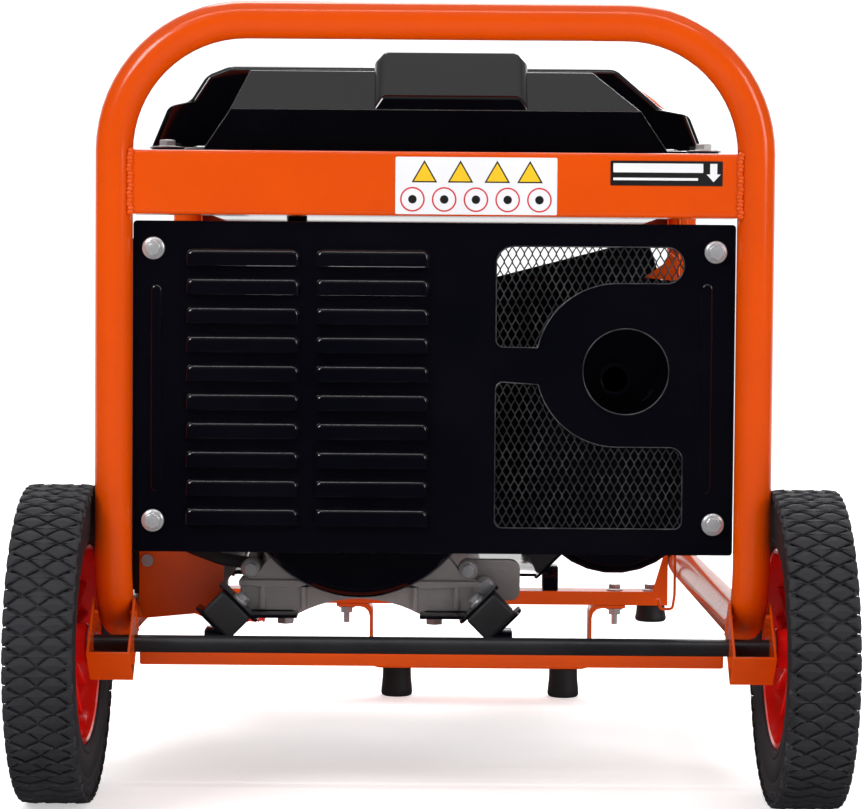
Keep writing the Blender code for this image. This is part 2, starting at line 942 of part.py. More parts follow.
def fan_housing():
    outer = fan_radius
    inner = fan_radius - fan_wall
    profile = [
        (outer, fan_length),
        (outer, 0),
        (0.032, 0),
        (0.032, fan_wall),
        (inner, fan_wall),
        (inner, fan_length),
    ]
    housing = turned(profile, on_crank(fan_start), (0, 1, 0), 36, ring=True)
    return place(housing, "fan_housing", black)


def recoil_cover():
    outer = fan_radius
    wall = 0.0025
    face = 0.088
    profile = [
        (0, recoil_length),
        (face, recoil_length),
        (outer - 0.008, recoil_length - 0.020),
        (outer, 0),
        (outer - wall, 0),
        (outer - 0.008 - wall, recoil_length - 0.021),
        (face - wall, recoil_length - wall),
        (0, recoil_length - wall),
    ]
    return place(turned(profile, on_crank(recoil_start), (0, 1, 0), 36), "recoil_cover", black)


def recoil_handle():
    """A cross grip on a tapered neck, pulled straight out of the cover."""
    start = on_crank(recoil_face + gap) + Vector((0.050, 0, 0.050))
    neck = rod(start, (0, 1, 0), 0.024, 0.009, 16)
    back = start.y + 0.020
    low = (start.x - 0.040, back, start.z - 0.009)
    high = (start.x + 0.040, back + 0.018, start.z + 0.009)
    return place(join(block(low, high, 0.005), neck), "recoil_handle", plastic)


# ---------------------------------------------------------------- intake and exhaust
def muffler():
    """An upright rounded box with its outlet pipe towards the wheel-end panel."""
    lower = arc((muffler_x, muffler_low), muffler_radius, 180, 360, 14)
    upper = arc((muffler_x, muffler_high), muffler_radius, 0, 180, 14)
    start = near_y + muffler_start
    body = as_mesh(plate([lower + upper], "Y", start, muffler_length))
    edge = body.modifiers.new("rolled_edge", "BEVEL")
    edge.width = 0.005
    edge.segments = 2
    edge.limit_method = "ANGLE"
    edge.angle_limit = math.radians(60)
    place_at = (muffler_x - 0.003, start - 0.020, exhaust_z - 0.007)
    pipe = rod(place_at, (0, 1, 0), 0.030, outlet_radius, 24)
    bore = rod((place_at[0], start - 0.030, place_at[2]), (0, 1, 0), 0.060, outlet_bore, 24)
    wall = panel_sheet
    lower = arc((muffler_x, muffler_low), muffler_radius - 0.004, 180, 360, 8)
    upper = arc((muffler_x, muffler_high), muffler_radius - 0.004, 0, 180, 8)
    hollow = as_mesh(plate([lower + upper], "Y", start + wall, muffler_length - 2 * wall))
    return place(cut(join(body, pipe), hollow, bore), "muffler", black)


def exhaust_pipe():
    """The bent pipe from the head's port to the muffler's back."""
    x, z = at_cylinder(deck_distance + cylinder_length + 0.020, 0)
    head_y = near_y + crankcase_start + 0.022 - gap
    back = near_y + muffler_start + muffler_length + gap
    middle = (head_y + back) / 2
    target_x = muffler_x - 0.010
    corners = [(x, head_y, z), (x, middle + 0.008, z), (target_x, middle - 0.008, z), (target_x, back, z)]
    return place(tube(rounded(corners, 0.012, 3), 0.013, 3), "exhaust_pipe", steel)


def head_port():
    """X, Y and Z of the intake port on the head's far side."""
    x, z = at_cylinder(deck_distance + cylinder_length + 0.020, 0)
    return Vector((x, near_y + crankcase_start + crankcase_length - 0.022, z))


def air_cleaner_start():
    return head_port().y + 0.052


def carburettor():
    port = head_port()
    low = (port.x - 0.025, port.y + gap, port.z - 0.030)
    high = (port.x + 0.025, air_cleaner_start() - gap, port.z + 0.024)
    return place(block(low, high, 0.004), "carburettor", casting)


def choke_lever():
    """A thin lever on the carburettor's outer side, turning on a pin along X."""
    port = head_port()
    pivot = Vector((port.x + 0.025 + gap, (port.y + air_cleaner_start()) / 2, port.z))
    length = 0.030
    lever = block((0, -0.004, -length), (0.003, 0.004, 0.004))
    knob = rod((0.0, 0, -length), (1, 0, 0), 0.010, 0.006, 16)
    hinge = pivot_at("choke_pivot", pivot)
    hinge.rotation_euler = (math.radians(-25), 0, 0)
    lever.parent = hinge
    knob.parent = hinge
    return place(join(lever, knob), "choke_lever", plastic)


def air_cleaner():
    port = head_port()
    low = (port.x - 0.030, air_cleaner_start(), port.z - 0.080)
    high = (leg_inside - 0.006, far_y - 0.040, port.z + 0.080)
    return place(block(low, high, 0.010), "air_cleaner", plastic)


def pivot_at(name, where):
    empty = bpy.data.objects.new(name, None)
    empty.empty_display_size = 0.01
    empty.location = where
    parts.objects.link(empty)
    return empty


# ---------------------------------------------------------------- fuel tank
def fuel_tank():
    """Pressed tank: lower body, narrow wheel-end section, wide stepped section, rib, tabs, tap boss."""
    start = near_y + tank_start
    seat = cross_panel_bottom + cross_panel_height + gap
    rim_z = seat + 0.004
    lower = block(
        (-tank_half_width, start + 0.010, tank_bottom),
        (tank_half_width, start + tank_length, rim_z),
    )
    half = tank_half_width
    near_shape = [
        (0.011 - half, seat),
        (half - 0.011, seat),
        (half - 0.034, seat + 0.034),
        (half - 0.072, tank_top - 0.008),
        (0.048 - half, tank_top - 0.008),
        (0.034 - half, seat + 0.034),
    ]
    near_part = as_mesh(plate([near_shape], "Y", start, tank_near_length + 0.002))
    slope = block((-0.3, -0.03, 0), (0.3, 0.03, 0.10))
    slope.rotation_euler = (math.radians(-45), 0, 0)
    slope.location = (0, start - 0.028, tank_top - 0.008)
    near_part = cut(near_part, slope)
    wide_shape = [
        (-half - 0.040, rim_z),
        (half + 0.026, rim_z),
        (half + 0.012, tank_top - 0.038),
        (half - 0.010, tank_top - 0.034),
        (half - 0.050, tank_top),
        (0.028 - half, tank_top),
        (0.008 - half, tank_top - 0.008),
        (-half - 0.006, tank_top - 0.030),
        (-half - 0.024, tank_top - 0.034),
    ]
    wide_start = start + tank_near_length
    wide_length = tank_length - tank_near_length
    wide_part = as_mesh(plate([wide_shape], "Y", wide_start, wide_length))
    rib = block(
        (-0.041, start + 0.030, tank_top - 0.020),
        (0.0655, start + 0.230, tank_top + 0.0016),
    )
    tabs = [tank_tab(side, y, seat) for side in (-1, 1) for y in tank_tab_places()]
    tap_x, tap_y = tap_place()
    boss = rod((tap_x, tap_y, tank_bottom - 0.026), (0, 0, 1), 0.030, 0.009, 16)
    tank = join(lower, near_part, wide_part, rib, *tabs, boss)
    return place(cut(tank, *tank_hollow(start, rim_z)), "fuel_tank", black)


def tank_hollow(start, rim_z):
    """The room for fuel, and the filler hole under the cap."""
    end = start + tank_length - tank_wall
    wide_start = start + tank_near_length + tank_wall
    side = tank_half_width - tank_wall
    lower = block((-side, start + 0.010 + tank_wall, tank_bottom + tank_wall), (side, end, rim_z))
    upper_shape = [
        (-side, rim_z - 0.006),
        (side, rim_z - 0.006),
        (side, tank_top - 0.040),
        (tank_half_width - 0.050, tank_top - tank_wall - 0.002),
        (0.028 - tank_half_width, tank_top - tank_wall - 0.002),
        (-side, tank_top - 0.028),
    ]
    upper = as_mesh(plate([upper_shape], "Y", wide_start, end - 0.001 - wide_start))
    place_at = fuel_cap_place()
    filler = rod(place_at - Vector((0, 0, 0.030)), (0, 0, 1), 0.040, fuel_cap_radius - 0.016, 24)
    return [lower, upper, filler]


def fuel_cap_place():
    return Vector((0.012, near_y + 0.340, tank_top + gap))


def tank_tab_places():
    return (near_y + 0.075, far_y - 0.075)


def tank_tab(side, y, seat):
    inner, outer = sorted((side * (tank_half_width - 0.004), side * (leg_inside - 0.002)))
    return block((inner, y - 0.018, seat), (outer, y + 0.018, seat + 0.003))


def tap_place():
    return (-0.120, near_y + 0.180)


def fuel_tap_lever():
    """The tap's lever, on the side of its boss that faces the wheel end."""
    tap_x, tap_y = tap_place()
    pivot = Vector((tap_x, tap_y - 0.009 - gap, tank_bottom - 0.014))
    lever = block((-0.005, -0.003, -0.030), (0.005, 0, 0.005))
    lever.parent = pivot_at("fuel_tap_pivot", pivot)
    return place(lever, "fuel_tap_lever", plastic)


def fuel_cap():
    profile = [
        (0, fuel_cap_height),
        (fuel_cap_radius - 0.006, fuel_cap_height),
        (fuel_cap_radius, fuel_cap_height - 0.005),
        (fuel_cap_radius, 0.004),
        (fuel_cap_radius - 0.003, 0),
        (0, 0),
    ]
    cap = turned(profile, fuel_cap_place(), (0, 0, 1), 32)
    return place(cap, "fuel_cap", plastic)


# ---------------------------------------------------------------- control box
def control_box():
    """A folded box that opens outwards, behind the control panel."""
    start = near_y + box_start
    low = Vector((box_outside, start, box_bottom))
    high = Vector((box_outside + box_depth, start + box_length, box_top))
    wall = Vector((box_wall, box_wall, box_wall))
    shell = block(low, high)
    room = block(low + wall - Vector((0.020, 0, 0)), high - wall)
    return place(cut(shell, room), "control_box", orange)


def control_place(along, height):
    """A point of the control panel's outer face, from its wheel-end lower corner."""
    return Vector((panel_face, near_y + box_start + along, box_bottom + height))


def socket_places():
    return (("near", 0.065, 0.070), ("far", 0.145, 0.070))


def control_panel():
    start = near_y + box_start
    outer = rectangle(start + 0.003, box_bottom + 0.003, start + box_length - 0.003, box_top - 0.003)
    holes = []
    for word, along, height in socket_places():
        middle = control_place(along, height)
        holes.append(arc((middle.y, middle.z), socket_recess_radius + 0.003 + gap * 2, 0, 345, 23))
    for along, height in (switch_place(), breaker_place()):
        middle = control_place(along, height)
        holes.append(arc((middle.y, middle.z), 0.005 + gap * 2, 0, 330, 11))
    face = plate([outer, *holes], "X", panel_face, sheet + panel_sheet)
    return place(face, "control_panel", black)


def socket(word, along, height):
    """A round outlet that passes through the panel, with a blind recess."""
    middle = control_place(along, height)
    barrel = socket_recess_radius + 0.003
    flange = 0.007
    depth = 0.016
    profile = [
        (0, flange - socket_recess_depth),
        (socket_recess_radius, flange - socket_recess_depth),
        (socket_recess_radius, flange),
        (socket_radius, flange),
        (socket_radius, gap),
        (barrel, gap),
        (barrel, -depth),
        (0, -depth),
    ]
    return place(turned(profile, middle, (-1, 0, 0), 28), f"socket_{word}", plastic)


def socket_lid(word, along, height):
    """A sprung flap, hinged along its top edge."""
    middle = control_place(along, height)
    inner = middle.x - 0.007 - gap
    disc = rod((inner, middle.y, middle.z), (-1, 0, 0), lid_thickness, socket_radius - 0.001, 28)
    hinge_z = middle.z + socket_radius + 0.0015
    low = (inner - lid_thickness, middle.y - 0.012, middle.z + 0.010)
    high = (inner, middle.y + 0.012, hinge_z + 0.0013)
    pull_low = (inner - lid_thickness - 0.003, middle.y - 0.008, middle.z - socket_radius + 0.002)
    pull_high = (inner - 0.0005, middle.y + 0.008, middle.z - socket_radius + 0.006)
    lid = join(disc, block(low, high), block(pull_low, pull_high))
    return place(lid, f"socket_lid_{word}", plastic)


def switch_place():
    return (0.230, 0.215)


def breaker_place():
    return (0.230, 0.070)


def engine_switch():
    """A rotary switch: shaft through the panel, round knob and grip bar."""
    middle = control_place(*switch_place())
    shaft = rod(middle + Vector((0.012, 0, 0)), (-1, 0, 0), 0.016, 0.005, 16)
    knob = rod(middle + Vector((-gap, 0, 0)), (-1, 0, 0), 0.009, 0.015, 24)
    low = middle + Vector((-0.018, -0.004, -0.0132))
    high = middle + Vector((-0.008, 0.004, 0.0132))
    return place(join(shaft, knob, block(low, high)), "engine_switch", red)


def breaker_button():
    """The breaker's push button, on its stem through the panel."""
    middle = control_place(*breaker_place())
    stem = rod(middle + Vector((0.014, 0, 0)), (-1, 0, 0), 0.018, 0.005, 16)
    button = rod(middle + Vector((-0.0035, 0, 0)), (-1, 0, 0), 0.006, 0.009, 20)
    return place(join(stem, button), "breaker_button", plastic)


# ---------------------------------------------------------------- fold-down handle
def handle_pivot():
    return Vector((handle_x, far_y + handle_pivot_back, handle_pivot_z))


def handle_bracket():
    """Cutting and joining shapes of the welded bracket: web, two ears and the pin."""
    pivot = handle_pivot()
    inner = handle_radius + 0.0007
    outer = inner + strip
    web_back = far_y + tube_radius + 0.003
    height = 0.016
    lip = 0.0005  # the web stands proud of the ears all round
    low = (pivot.x - outer - lip, far_y + tube_radius - 0.006, pivot.z - height - lip)
    web = block(low, (pivot.x + outer + lip, web_back, pivot.z + height + lip))
    ears = [
        block(
            (min(near, far), web_back - 0.002, pivot.z - height),
            (max(near, far), pivot.y + 0.012, pivot.z + height),
        )
        for near, far in (
            (pivot.x - outer, pivot.x - inner),
            (pivot.x + inner, pivot.x + outer),
        )
    ]
    pin = rod((pivot.x - outer - 0.003, pivot.y, pivot.z), (1, 0, 0), 2 * outer + 0.006, 0.004, 16)
    return [web, *ears, pin]


def fold_handle():
    """The arm hangs from its pivot and turns inwards to the grip."""
    pivot = handle_pivot()
    corners = [
        pivot + Vector((0, 0, 0.006)),
        Vector((pivot.x, pivot.y, handle_low)),
        Vector((grip_end_x - 0.008, pivot.y, handle_low)),
    ]
    arm = as_mesh(tube(rounded(corners, 0.028), handle_radius))
    bore = rod((pivot.x - 0.03, pivot.y, pivot.z), (1, 0, 0), 0.06, 0.004 + axle_clearance, 16)
    return place(cut(arm, bore), "fold_handle", black)


def handle_grip():
    """A rubber sleeve with a rounded closed end over the arm's last stretch."""
    pivot = handle_pivot()
    length = grip_length
    inside = handle_radius + 2 * gap
    hollow = length - 0.0075
    profile = [
        (0, length),
        (0.008, length - 0.001),
        (grip_radius - 0.001, length - 0.006),
        (grip_radius, length - 0.011),
        (grip_radius, 0),
        (inside, 0),
        (inside, hollow),
        (0, hollow),
    ]
    start = (grip_end_x - length, pivot.y, handle_low)
    return place(turned(profile, start, (1, 0, 0), 24), "handle_grip", red)


# ---------------------------------------------------------------- assembly
def build_frame():
    hoop("near_hoop", near_y, 1)
    hoop("far_hoop", far_y, -1, handle_bracket())
    cross_panel("near_cross_panel", near_y, 1)
    cross_panel("far_cross_panel", far_y, -1)
    tank_rail("tank_rail_left", -1)
    tank_rail("tank_rail_right", 1)
    near_base_rail()
    far_base_rail()
    axle()
    for side, word in ((-1, "left"), (1, "right")):
        axle_bracket(f"axle_bracket_{word}", side)
        tyre(f"tyre_{word}", side)
        rim(f"rim_{word}", side)


def build_panel_and_stand():
    end_panel()
    panel_mesh()
    for ending, x, z in bolt_places():
        panel_bolt(ending, x, z)
    stand()
    rubber_foot("stand_foot_left", stand_x - stand_foot_spread, foot_height - gap, foot_height - gap)
    rubber_foot("stand_foot_right", stand_x + stand_foot_spread, foot_height - gap, foot_height - gap)
    rubber_foot("frame_foot", leg_inside - 0.016, far_rail_top - rail_section - gap, 0.017)


def build_power_unit():
    engine_mounts()
    alternator_cover()
    end_bracket()
    alternator_housing()
    rotor()
    flywheel()
    crankcase()
    oil_cap()
    cylinder()
    cylinder_head()
    spark_plug()
    fan_housing()
    recoil_cover()
    recoil_handle()
    muffler()
    exhaust_pipe()
    carburettor()
    choke_lever()
    air_cleaner()


def build_tank_and_controls():
    fuel_tank()
    fuel_cap()
    fuel_tap_lever()
    control_box()
    control_panel()
    for spot in socket_places():
        socket(*spot)
        socket_lid(*spot)
    engine_switch()
    breaker_button()
    fold_handle()
    handle_grip()


build_frame()
build_panel_and_stand()
build_power_unit()
build_tank_and_controls()
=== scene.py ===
import json
import math

import bpy
from mathutils import Matrix, Vector

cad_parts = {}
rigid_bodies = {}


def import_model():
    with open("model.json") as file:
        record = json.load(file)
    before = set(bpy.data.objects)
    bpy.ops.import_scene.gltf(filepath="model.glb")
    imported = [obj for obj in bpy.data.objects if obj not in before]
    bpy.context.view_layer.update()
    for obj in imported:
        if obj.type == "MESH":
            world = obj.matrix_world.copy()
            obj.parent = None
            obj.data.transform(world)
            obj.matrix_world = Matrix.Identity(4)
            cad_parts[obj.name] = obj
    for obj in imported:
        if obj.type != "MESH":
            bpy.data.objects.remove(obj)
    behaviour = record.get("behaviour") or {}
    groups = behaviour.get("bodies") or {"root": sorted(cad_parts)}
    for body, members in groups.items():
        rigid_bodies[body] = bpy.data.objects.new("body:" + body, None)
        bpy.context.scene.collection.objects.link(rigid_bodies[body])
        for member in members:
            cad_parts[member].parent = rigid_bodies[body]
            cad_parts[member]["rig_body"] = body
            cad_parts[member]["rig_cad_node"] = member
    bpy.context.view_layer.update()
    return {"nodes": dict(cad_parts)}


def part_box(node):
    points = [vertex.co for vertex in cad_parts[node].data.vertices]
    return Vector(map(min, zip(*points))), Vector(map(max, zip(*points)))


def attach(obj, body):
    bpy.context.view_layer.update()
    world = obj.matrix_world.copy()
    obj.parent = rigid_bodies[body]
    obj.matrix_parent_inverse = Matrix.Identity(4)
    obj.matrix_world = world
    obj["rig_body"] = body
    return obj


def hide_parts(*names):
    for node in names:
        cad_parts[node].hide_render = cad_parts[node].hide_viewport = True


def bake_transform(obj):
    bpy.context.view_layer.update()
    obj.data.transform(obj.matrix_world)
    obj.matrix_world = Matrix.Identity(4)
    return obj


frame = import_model()

# places read from the frame
tube = 0.015
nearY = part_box("near_hoop")[0].y + tube
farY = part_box("far_cross_panel")[1].y - 0.01
middleY = (nearY + farY) / 2
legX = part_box("near_hoop")[1].x - tube
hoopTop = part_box("near_hoop")[1].z - tube
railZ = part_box("near_hoop")[0].z + tube
panelLow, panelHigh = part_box("end_panel")
panelHigh.x += 0.0018
crossLow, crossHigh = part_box("near_cross_panel")
crankX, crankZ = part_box("rotor")[0].lerp(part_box("rotor")[1], 0.5).xz
axleLow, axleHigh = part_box("axle")
axleY, axleZ = (axleLow.y + axleHigh.y) / 2, (axleLow.z + axleHigh.z) / 2
gap = 0.0003
toRight, toBack, toTop = (1, 0, 0), (0, 1, 0), (0, 0, 1)
toLeft, toFront, toFloor = (-1, 0, 0), (0, -1, 0), (0, 0, -1)


# small tools for working by hand
def deselect():
    active = bpy.context.view_layer.objects.active
    if active and active.mode != "OBJECT":
        bpy.ops.object.mode_set(mode="OBJECT")
    bpy.ops.object.select_all(action="DESELECT")


def activate(obj):
    deselect()
    obj.select_set(True)
    bpy.context.view_layer.objects.active = obj
    return obj


def current():
    return bpy.context.view_layer.objects.active


def pick(obj, kind, test):
    # selects what passes the test and leaves the piece in edit mode
    activate(obj)
    bpy.ops.object.mode_set(mode="EDIT")
    bpy.ops.mesh.select_mode(type=kind)
    bpy.ops.mesh.select_all(action="DESELECT")
    bpy.ops.object.mode_set(mode="OBJECT")
    mesh = obj.data
    if kind == "FACE":
        for face in mesh.polygons:
            face.select = bool(test(face.center, face.normal))
    elif kind == "EDGE":
        for edge in mesh.edges:
            a, b = (mesh.vertices[i].co for i in edge.vertices)
            edge.select = bool(test(a, b))
    else:
        for point in mesh.vertices:
            point.select = bool(test(point.co))
    bpy.ops.object.mode_set(mode="EDIT")


def done():
    bpy.ops.object.mode_set(mode="OBJECT")


def roundEdges(obj, width, segments, test):
    pick(obj, "EDGE", test)
    bpy.ops.mesh.bevel(offset=width, segments=segments, affect="EDGES")
    done()


def sliced(obj, place, normal):
    # cuts away what lies beyond a plane and closes the cut
    pick(obj, "FACE", lambda c, n: True)
    bpy.ops.mesh.bisect(plane_co=place, plane_no=normal, clear_outer=True, use_fill=True)
    done()


def settle(obj):
    activate(obj)
    bpy.ops.object.transform_apply(location=True, rotation=True, scale=True)
    return obj


def applyAll(obj):
    activate(obj)
    for modifier in list(obj.modifiers):
        bpy.ops.object.modifier_apply(modifier=modifier.name)
    return obj


def smooth(obj, angle=35):
    activate(obj)
    bpy.ops.object.shade_smooth_by_angle(angle=math.radians(angle))
    return obj


def tidyMesh(obj, distance=0.00002):
    pick(obj, "VERT", lambda co: True)
    bpy.ops.mesh.remove_doubles(threshold=distance)
    bpy.ops.mesh.normals_make_consistent(inside=False)
    done()
    return obj


def copyOf(obj, move=(0, 0, 0)):
    twin = obj.copy()
    twin.data = obj.data.copy()
    bpy.context.scene.collection.objects.link(twin)
    return moved(twin, move)


def turned(obj, angle, axis, centre=(0, 0, 0)):
    # turns the mesh itself about a line through centre
    centre = Vector(centre)
    matrix = Matrix.Translation(centre) @ Matrix.Rotation(angle, 4, axis) @ Matrix.Translation(-centre)
    obj.data.transform(matrix)
    return obj


def moved(obj, place):
    obj.data.transform(Matrix.Translation(Vector(place)))
    return obj


def around(obj, count, axis, place=(0, 0, 0), shift=0.0):
    # copies set round an axis, then moved; the first drawing is used up
    copies = []
    for i in range(count):
        twin = turned(copyOf(obj), math.tau * (i + shift) / count, axis, (0, 0, 0))
        copies.append(moved(twin, place))
    bpy.data.objects.remove(obj, do_unlink=True)
    return copies


def mirrored(obj):
    twin = copyOf(obj)
    twin.data.transform(Matrix.Scale(-1, 4, toRight))
    twin.data.flip_normals()
    return twin


def joined(pieces):
    activate(pieces[0])
    for piece in pieces:
        piece.select_set(True)
    if len(pieces) > 1:
        bpy.ops.object.join()
    return current()


def aim(axis):
    return Vector(axis).to_track_quat("Z", "Y").to_euler()


def slab(low, high, bevel=0.0, segments=3, angle=35):
    # a box with its edges rounded over
    low, high = Vector(low), Vector(high)
    deselect()
    bpy.ops.mesh.primitive_cube_add(size=1, location=(low + high) / 2)
    obj = current()
    obj.scale = high - low
    settle(obj)
    if bevel:
        roundEdges(obj, bevel, segments, lambda a, b: True)
    return smooth(obj, angle)


def rod(start, axis, length, radius, sides=32, bevel=0.0, segments=2):
    # a rod with its two ends chamfered
    axis = Vector(axis).normalized()
    deselect()
    bpy.ops.mesh.primitive_cylinder_add(vertices=sides, radius=radius, depth=length)
    obj = current()
    if bevel:
        roundEdges(obj, bevel, segments, lambda a, b: abs(a.z - b.z) < 1e-6)
    obj.rotation_euler = aim(axis)
    obj.location = Vector(start) + axis * length / 2
    settle(obj)
    return smooth(obj)


def lathe(profile, start, axis, sides=48, angle=35):
    # a ring is extruded and scaled from one (radius, height) to the next
    point, weldGap = 1e-4, 0.00001
    deselect()
    radius, height = profile[0]
    last = max(radius, point)
    bpy.ops.mesh.primitive_circle_add(vertices=sides, radius=last, location=(0, 0, height))
    obj = settle(current())
    bpy.ops.object.mode_set(mode="EDIT")
    bpy.ops.mesh.select_mode(type="EDGE")
    bpy.ops.mesh.select_all(action="SELECT")
    for radius, nextHeight in profile[1:]:
        goal = max(radius, point)
        bpy.ops.mesh.extrude_edges_move(TRANSFORM_OT_translate={"value": (0, 0, nextHeight - height)})
        bpy.ops.transform.resize(value=(goal / last, goal / last, 1), center_override=(0, 0, nextHeight))
        last, height = goal, nextHeight
    bpy.ops.mesh.select_all(action="SELECT")
    bpy.ops.mesh.remove_doubles(threshold=weldGap)
    done()
    # an end that closes on the axis is drawn together into one point
    for radius, height in {profile[0], profile[-1]} if profile[0] != profile[-1] else ():
        if radius < 2 * point:
            for vertex in obj.data.vertices:
                if vertex.co.xy.length < 2 * point and abs(vertex.co.z - height) < 1e-6:
                    vertex.co.x, vertex.co.y = 0, 0
    tidyMesh(obj, weldGap)
    obj.rotation_euler = aim(axis)
    obj.location = start
    settle(obj)
    return smooth(obj, angle)


def bent(corners, radius, steps=12):
    # an open path whose inner corners are arcs
    path = [Vector(corners[0])]
    for before, corner, after in zip(corners, corners[1:], corners[2:]):
        corner = Vector(corner)
        back = (Vector(before) - corner).normalized()
        ahead = (Vector(after) - corner).normalized()
        swing = math.pi - back.angle(ahead)
        reach = radius * math.tan(swing / 2)
        centre = corner + (back + ahead).normalized() * radius / math.cos(swing / 2)
        first = corner + back * reach - centre
        final = corner + ahead * reach - centre
        for step in range(steps + 1):
            path.append(centre + first.slerp(final, step / steps).normalized() * radius)
    path.append(Vector(corners[-1]))
    return path


def drawn(paths, closed, radius, roundness, **settings):
    # one curve object holding every path, with its thickness
    curve = bpy.data.curves.new("path", "CURVE")
    curve.dimensions = "3D"
    curve.bevel_depth = radius
    curve.bevel_resolution = roundness
    for key, value in settings.items():
        setattr(curve, key, value)
    for path in paths:
        spline = curve.splines.new("POLY")
        spline.points.add(len(path) - 1)
        spline.use_cyclic_u = closed
        for point, place in zip(spline.points, path):
            point.co = (*place, 1)
    obj = bpy.data.objects.new("path", curve)
    bpy.context.scene.collection.objects.link(obj)
    return obj


def toMesh(obj):
    activate(obj)
    bpy.ops.object.convert(target="MESH")
    return current()


def pipe(path, radius, roundness=5, closedLoop=False, angle=50):
    obj = toMesh(drawn([path], closedLoop, radius, roundness, use_fill_caps=not closedLoop))
    return smooth(tidyMesh(obj), angle)


def ring(centre, axis, radius, wire, sides=48):
    deselect()
    bpy.ops.mesh.primitive_torus_add(major_radius=radius, minor_radius=wire, major_segments=sides,
                                     minor_segments=10, location=centre, rotation=aim(axis))
    return smooth(settle(current()))


def arc(centre, radius, start, end, steps=8):
    turns = [math.radians(start + (end - start) * i / steps) for i in range(steps + 1)]
    return [(centre[0] + radius * math.cos(a), centre[1] + radius * math.sin(a)) for a in turns]


def rounded(low, high, radius, steps=5):
    # a rectangle's outline with round corners
    left, right, bottom, top = low[0] + radius, high[0] - radius, low[1] + radius, high[1] - radius
    corners = ((right, top), (left, top), (left, bottom), (right, bottom))
    return [spot for i, c in enumerate(corners) for spot in arc(c, radius, 90 * i, 90 * i + 90, steps)]


def cutSheet(outlines, start, thickness, edge=0.0):
    # upright stock cut to the first outline, the others being its holes
    paths = [[(across, up, 0) for across, up in outline] for outline in outlines]
    obj = drawn(paths, True, edge, 1, dimensions="2D", fill_mode="BOTH", extrude=thickness / 2 - edge,
                offset=-edge)
    middle = start + thickness / 2
    obj.rotation_euler = (math.pi / 2, 0, 0)
    obj.location = (0, middle, 0)
    obj = tidyMesh(settle(toMesh(obj)))
    bpy.ops.object.shade_flat()
    return obj


def thickened(obj, wall):
    step = obj.modifiers.new("wall", "SOLIDIFY")
    step.thickness = wall
    step.offset = -1
    return applyAll(obj)


def flatten(obj):
    # large faces keep their own normals right up to the rounded edges
    step = obj.modifiers.new("flat", "WEIGHTED_NORMAL")
    step.keep_sharp = True
    step.weight = 90
    return applyAll(obj)


def chamfer(obj, width, segments=2, angle=30):
    step = obj.modifiers.new("edges", "BEVEL")
    step.width = width
    step.segments = segments
    step.limit_method = "ANGLE"
    step.angle_limit = math.radians(angle)
    applyAll(obj)
    return flatten(smooth(obj, 40))


def fromFrame(node, width=0.0008, segments=2, angle=35):
    # a merged copy of a CAD node with its edges broken
    obj = frame["nodes"][node].copy()
    obj.data = obj.data.copy()
    obj.parent = None
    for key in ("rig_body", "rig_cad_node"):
        if key in obj:
            del obj[key]
    bpy.context.scene.collection.objects.link(obj)
    activate(obj)
    obj.data.materials.clear()
    if obj.data.has_custom_normals:
        bpy.ops.mesh.customdata_custom_splitnormals_clear()
    bpy.ops.object.mode_set(mode="EDIT")
    bpy.ops.mesh.select_mode(type="VERT")
    bpy.ops.mesh.select_all(action="SELECT")
    bpy.ops.mesh.remove_doubles(threshold=0.00002)
    bpy.ops.mesh.dissolve_limited(angle_limit=math.radians(0.6))
    done()
    if width:
        return chamfer(obj, width, segments, angle)
    return smooth(obj, angle)


def middleOf(node):
    low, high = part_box(node)
    return (low + high) / 2


def cutWith(obj, cutters):
    # takes the cutters away from the piece
    for cutter in cutters:
        step = obj.modifiers.new("cut", "BOOLEAN")
        step.operation = "DIFFERENCE"
        step.solver = "EXACT"
        step.object = cutter
    applyAll(obj)
    for cutter in cutters:
        bpy.data.objects.remove(cutter, do_unlink=True)
    return obj


def keep(obj, name, material, body, slot, *nodes):
    # names the finished piece, gives it its finish and lets it ride
    obj.name = name
    obj.data.name = name
    obj.data.materials.clear()
    obj.data.materials.append(material)
    for face in obj.data.polygons:
        face.material_index = 0
    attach(obj, body)
    if nodes:
        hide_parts(*nodes)
    return obj


# shared surface effects, each a shader node group
def newGroup(name, inputs, outputs):
    group = bpy.data.node_groups.new(name, "ShaderNodeTree")
    for label, kind, value in inputs:
        socket = group.interface.new_socket(name=label, in_out="INPUT", socket_type=kind)
        if value is not None:
            socket.default_value = value
    for label, kind in outputs:
        group.interface.new_socket(name=label, in_out="OUTPUT", socket_type=kind)
    return group, group.nodes.new("NodeGroupInput"), group.nodes.new("NodeGroupOutput")


def add(tree, kind, **settings):
    node = tree.nodes.new(kind)
    for key, value in settings.items():
        if key in node.inputs:
            node.inputs[key].default_value = value
        else:
            setattr(node, key, value)
    return node


def feed(tree, socket, value):
    # a number or a colour is set, anything else is linked
    if isinstance(value, (int, float)):
        socket.default_value = value
    elif isinstance(value, tuple):
        socket.default_value = (*value, 1)
    else:
        tree.links.new(value, socket)


def noise(tree, coordinate, scale, detail=3.0, rough=0.5):
    node = add(tree, "ShaderNodeTexNoise", Detail=detail, Roughness=rough)
    feed(tree, node.inputs["Vector"], coordinate)
    feed(tree, node.inputs["Scale"], scale)
    return node.outputs["Fac"]


def maths(tree, operation, a, b, clamp=False):
    node = add(tree, "ShaderNodeMath", operation=operation, use_clamp=clamp)
    feed(tree, node.inputs[0], a)
    feed(tree, node.inputs[1], b)
    return node.outputs[0]


def plus(tree, a, b, clamp=False):
    return maths(tree, "ADD", a, b, clamp)


def times(tree, a, b, clamp=False):
    return maths(tree, "MULTIPLY", a, b, clamp)


